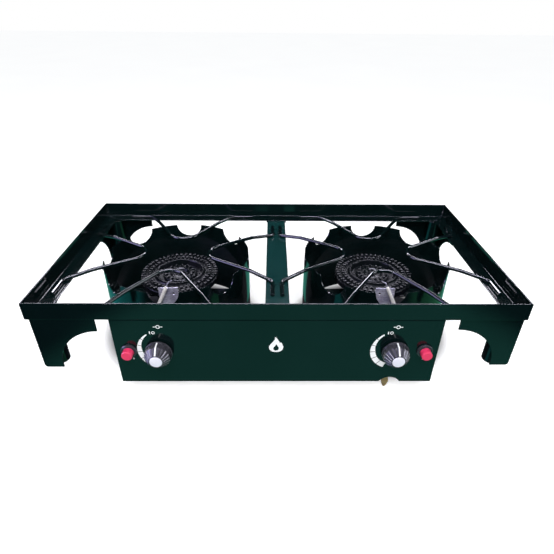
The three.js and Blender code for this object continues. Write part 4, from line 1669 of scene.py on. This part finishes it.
@dataclass
class Studio:
    """The pale floor, the soft lights, the surroundings and the camera."""

    eye: tuple[float, float, float] = (-9.2, -536.7, 376.6)
    pitch: float = 0.5495
    yaw: float = -0.0137
    roll: float = 0.0097
    lens: float = 28.13
    floor_size: float = 30.0
    floor_gap: float = 0.0002
    reflection_shade_radius: float = 0.20
    fill: float = 0.40
    dark: Colour = (0.004, 0.009, 0.012, 1.0)
    green: Colour = (0.07, 0.38, 0.29, 1.0)
    teal: Colour = (0.03, 0.42, 0.42, 1.0)
    leaf: Colour = (0.05, 0.30, 0.15, 1.0)

    def camera(self) -> None:
        """Set the camera in front of the stove and above it."""
        ahead = Vector((-math.sin(self.yaw), math.cos(self.yaw), 0))
        across = Vector((math.cos(self.yaw), math.sin(self.yaw), 0))
        forward = ahead * math.cos(self.pitch) - Way.Z.vector * math.sin(self.pitch)
        down = -ahead * math.sin(self.pitch) - Way.Z.vector * math.cos(self.pitch)
        right = across * math.cos(self.roll) - down * math.sin(self.roll)
        down = across * math.sin(self.roll) + down * math.cos(self.roll)
        lens = bpy.data.cameras.new("camera")
        lens.lens, lens.sensor_width = self.lens, 36.0
        lens.clip_start, lens.clip_end = 0.02, 60.0
        thing = linked("camera", lens)
        turn = Matrix((right, -down, -forward)).transposed().to_4x4()
        thing.matrix_world = Matrix.Translation(at(*self.eye)) @ turn
        bpy.context.scene.camera = thing

    def floor(self) -> None:
        """Lay the floor, with a black sheet under each guard that only glossy rays see: painted
        shade in the reflections that look down under the guards.
        """
        bpy.ops.object.select_all(action="DESELECT")
        bpy.ops.mesh.primitive_plane_add(
            size=self.floor_size, location=(0, 0, CAD_BOX[0].z - self.floor_gap))
        floor = bpy.context.object
        floor.name = "studio_floor"
        floor.data.materials.append(PaleFloor("pale_floor", "enamel").material())
        floor.visible_glossy = floor.visible_diffuse = False
        # painted shade: the black of the sheets under the guards, seen only in reflections
        black = Moulded("reflection_shade_black", "enamel", colour=(0.004, 0.004, 0.005, 1.0),
                        scuffed=(0.006, 0.006, 0.007, 1.0), roughness=(0.8, 0.9)).material()
        for side in Side:
            place = seat(f"{side.word}_wind_guard").translation
            bpy.ops.object.select_all(action="DESELECT")
            bpy.ops.mesh.primitive_circle_add(
                vertices=64, radius=self.reflection_shade_radius, fill_type="NGON",
                location=(place.x, place.y, CAD_BOX[0].z + self.floor_gap / 2))
            # painted shade: a black sheet under the guard, hidden from the camera, darkens what
            # the guard and burner reflect
            reflection_shade_sheet = bpy.context.object
            reflection_shade_sheet.name = f"{side.word}_floor_absorber"
            reflection_shade_sheet.visible_camera = reflection_shade_sheet.visible_diffuse = reflection_shade_sheet.visible_shadow = False
            reflection_shade_sheet.data.materials.append(black)

    def cards(self, graph: Graph) -> Socket:
        """The coloured cards that glossy surfaces see: one in front, low down, and one a side."""
        split = graph.add("SeparateXYZ", {"Vector": graph.add("TexCoord").outputs["Generated"]})
        x, y, z = (split.outputs[way] for way in "XYZ")
        ahead = graph.reckon("MAXIMUM", graph.reckon("MULTIPLY", y, -1.0), 0.01)
        across = graph.reckon("DIVIDE", x, ahead)
        below = graph.reckon("DIVIDE", graph.reckon("MULTIPLY", z, -1.0), ahead)
        reach = graph.reckon("ADD", graph.reckon("MULTIPLY", below, 1.33), -0.43)
        offset = graph.reckon("ABSOLUTE", graph.reckon("SUBTRACT", across, 0.09), 0.0)
        front = graph.span(graph.reckon("SUBTRACT", reach, offset), -0.05, 0.09)
        sideways = graph.span(graph.reckon("ABSOLUTE", x, 0.0), 0.60, 0.72)
        low = graph.span(graph.reckon("MULTIPLY", z, -1.0), 0.10, 0.25)
        side_card = graph.blend(graph.span(x, -0.1, 0.1), self.teal, self.leaf)
        ahead_card = graph.blend(graph.reckon("MULTIPLY", front, low), self.dark, self.green)
        return graph.blend(graph.reckon("MULTIPLY", sideways, low), ahead_card, side_card)

    def world(self) -> None:
        """White to the eye, soft as fill light, and dark with coloured cards in reflections."""
        world = bpy.data.worlds.new("surroundings")
        bpy.context.scene.world = world
        world.use_nodes = True
        graph = Graph(world.node_tree)
        ray = graph.add("LightPath")
        white = graph.add("Background", {"Color": (1, 1, 1, 1), "Strength": 1.0})
        fill = graph.add("Background", {"Color": (0.95, 0.98, 1, 1), "Strength": self.fill})
        seen = graph.add("Background", {"Color": self.cards(graph), "Strength": 1.0})
        inner = graph.add("MixShader")
        outer = graph.add("MixShader")
        for mixer, share, first, second in (
                (inner, "Is Glossy Ray", fill, seen), (outer, "Is Camera Ray", inner, white)):
            graph.feed(mixer.inputs[0], ray.outputs[share])
            graph.feed(mixer.inputs[1], first.outputs[0])
            graph.feed(mixer.inputs[2], second.outputs[0])
        graph.feed(graph.add("OutputWorld").inputs["Surface"], outer.outputs[0])

    def lights(self) -> None:
        """Hang the softboxes."""
        for box in (
            Softbox("overhead", (0.0, -0.9, 1.5), (0, 0, 0.1), (1.2, 0.8), 25, (0.97, 0.96, 1.0),
                    Use.LIGHT),
            Softbox("overhead_line", (0.0, -0.55, 1.7), (0, 0, 0.15), (2.2, 0.16), 90,
                    (0.82, 0.80, 1.0)),
            Softbox("left_card", (-1.5, -0.5, 0.55), (0, -0.1, 0.1), (1.0, 1.0), 40,
                    (0.55, 0.50, 1.0)),
            Softbox("right_card", (1.6, -0.2, 0.6), (0, 0, 0.1), (0.7, 1.0), 16,
                    (0.85, 0.90, 1.0)),
            Softbox("rail_line", (0.0, 1.5, 1.53), (0, -0.2, 0.19), (3.6, 0.15), 70,
                    (0.88, 0.86, 1.0)),
            Softbox("front_fill", (0.0, -1.6, 0.45), (0, 0, 0.1), (1.6, 0.8), 8, use=Use.LIGHT),
        ):
            box.hang()

    def build(self) -> None:
        """Set the studio up."""
        self.camera()
        self.floor()
        self.world()
        self.lights()
        bpy.context.scene.view_settings.view_transform = "Standard"


def main() -> None:
    """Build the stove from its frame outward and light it."""
    logging.basicConfig(level=logging.INFO, format="%(name)s: %(message)s")
    Studio().build()
    welder = Welder()
    for assembly in (AngleFrame(welder), LegMounts(), ControlPanel(), PotSupports(welder),
                     WindGuards(), Burners(), GasTrain(), Knobs(), Igniters(), Electrodes()):
        LOG.info("building %s", type(assembly).__name__)
        assembly.build()
    welder.lump.discard()


if __name__ == "__main__":
    main()
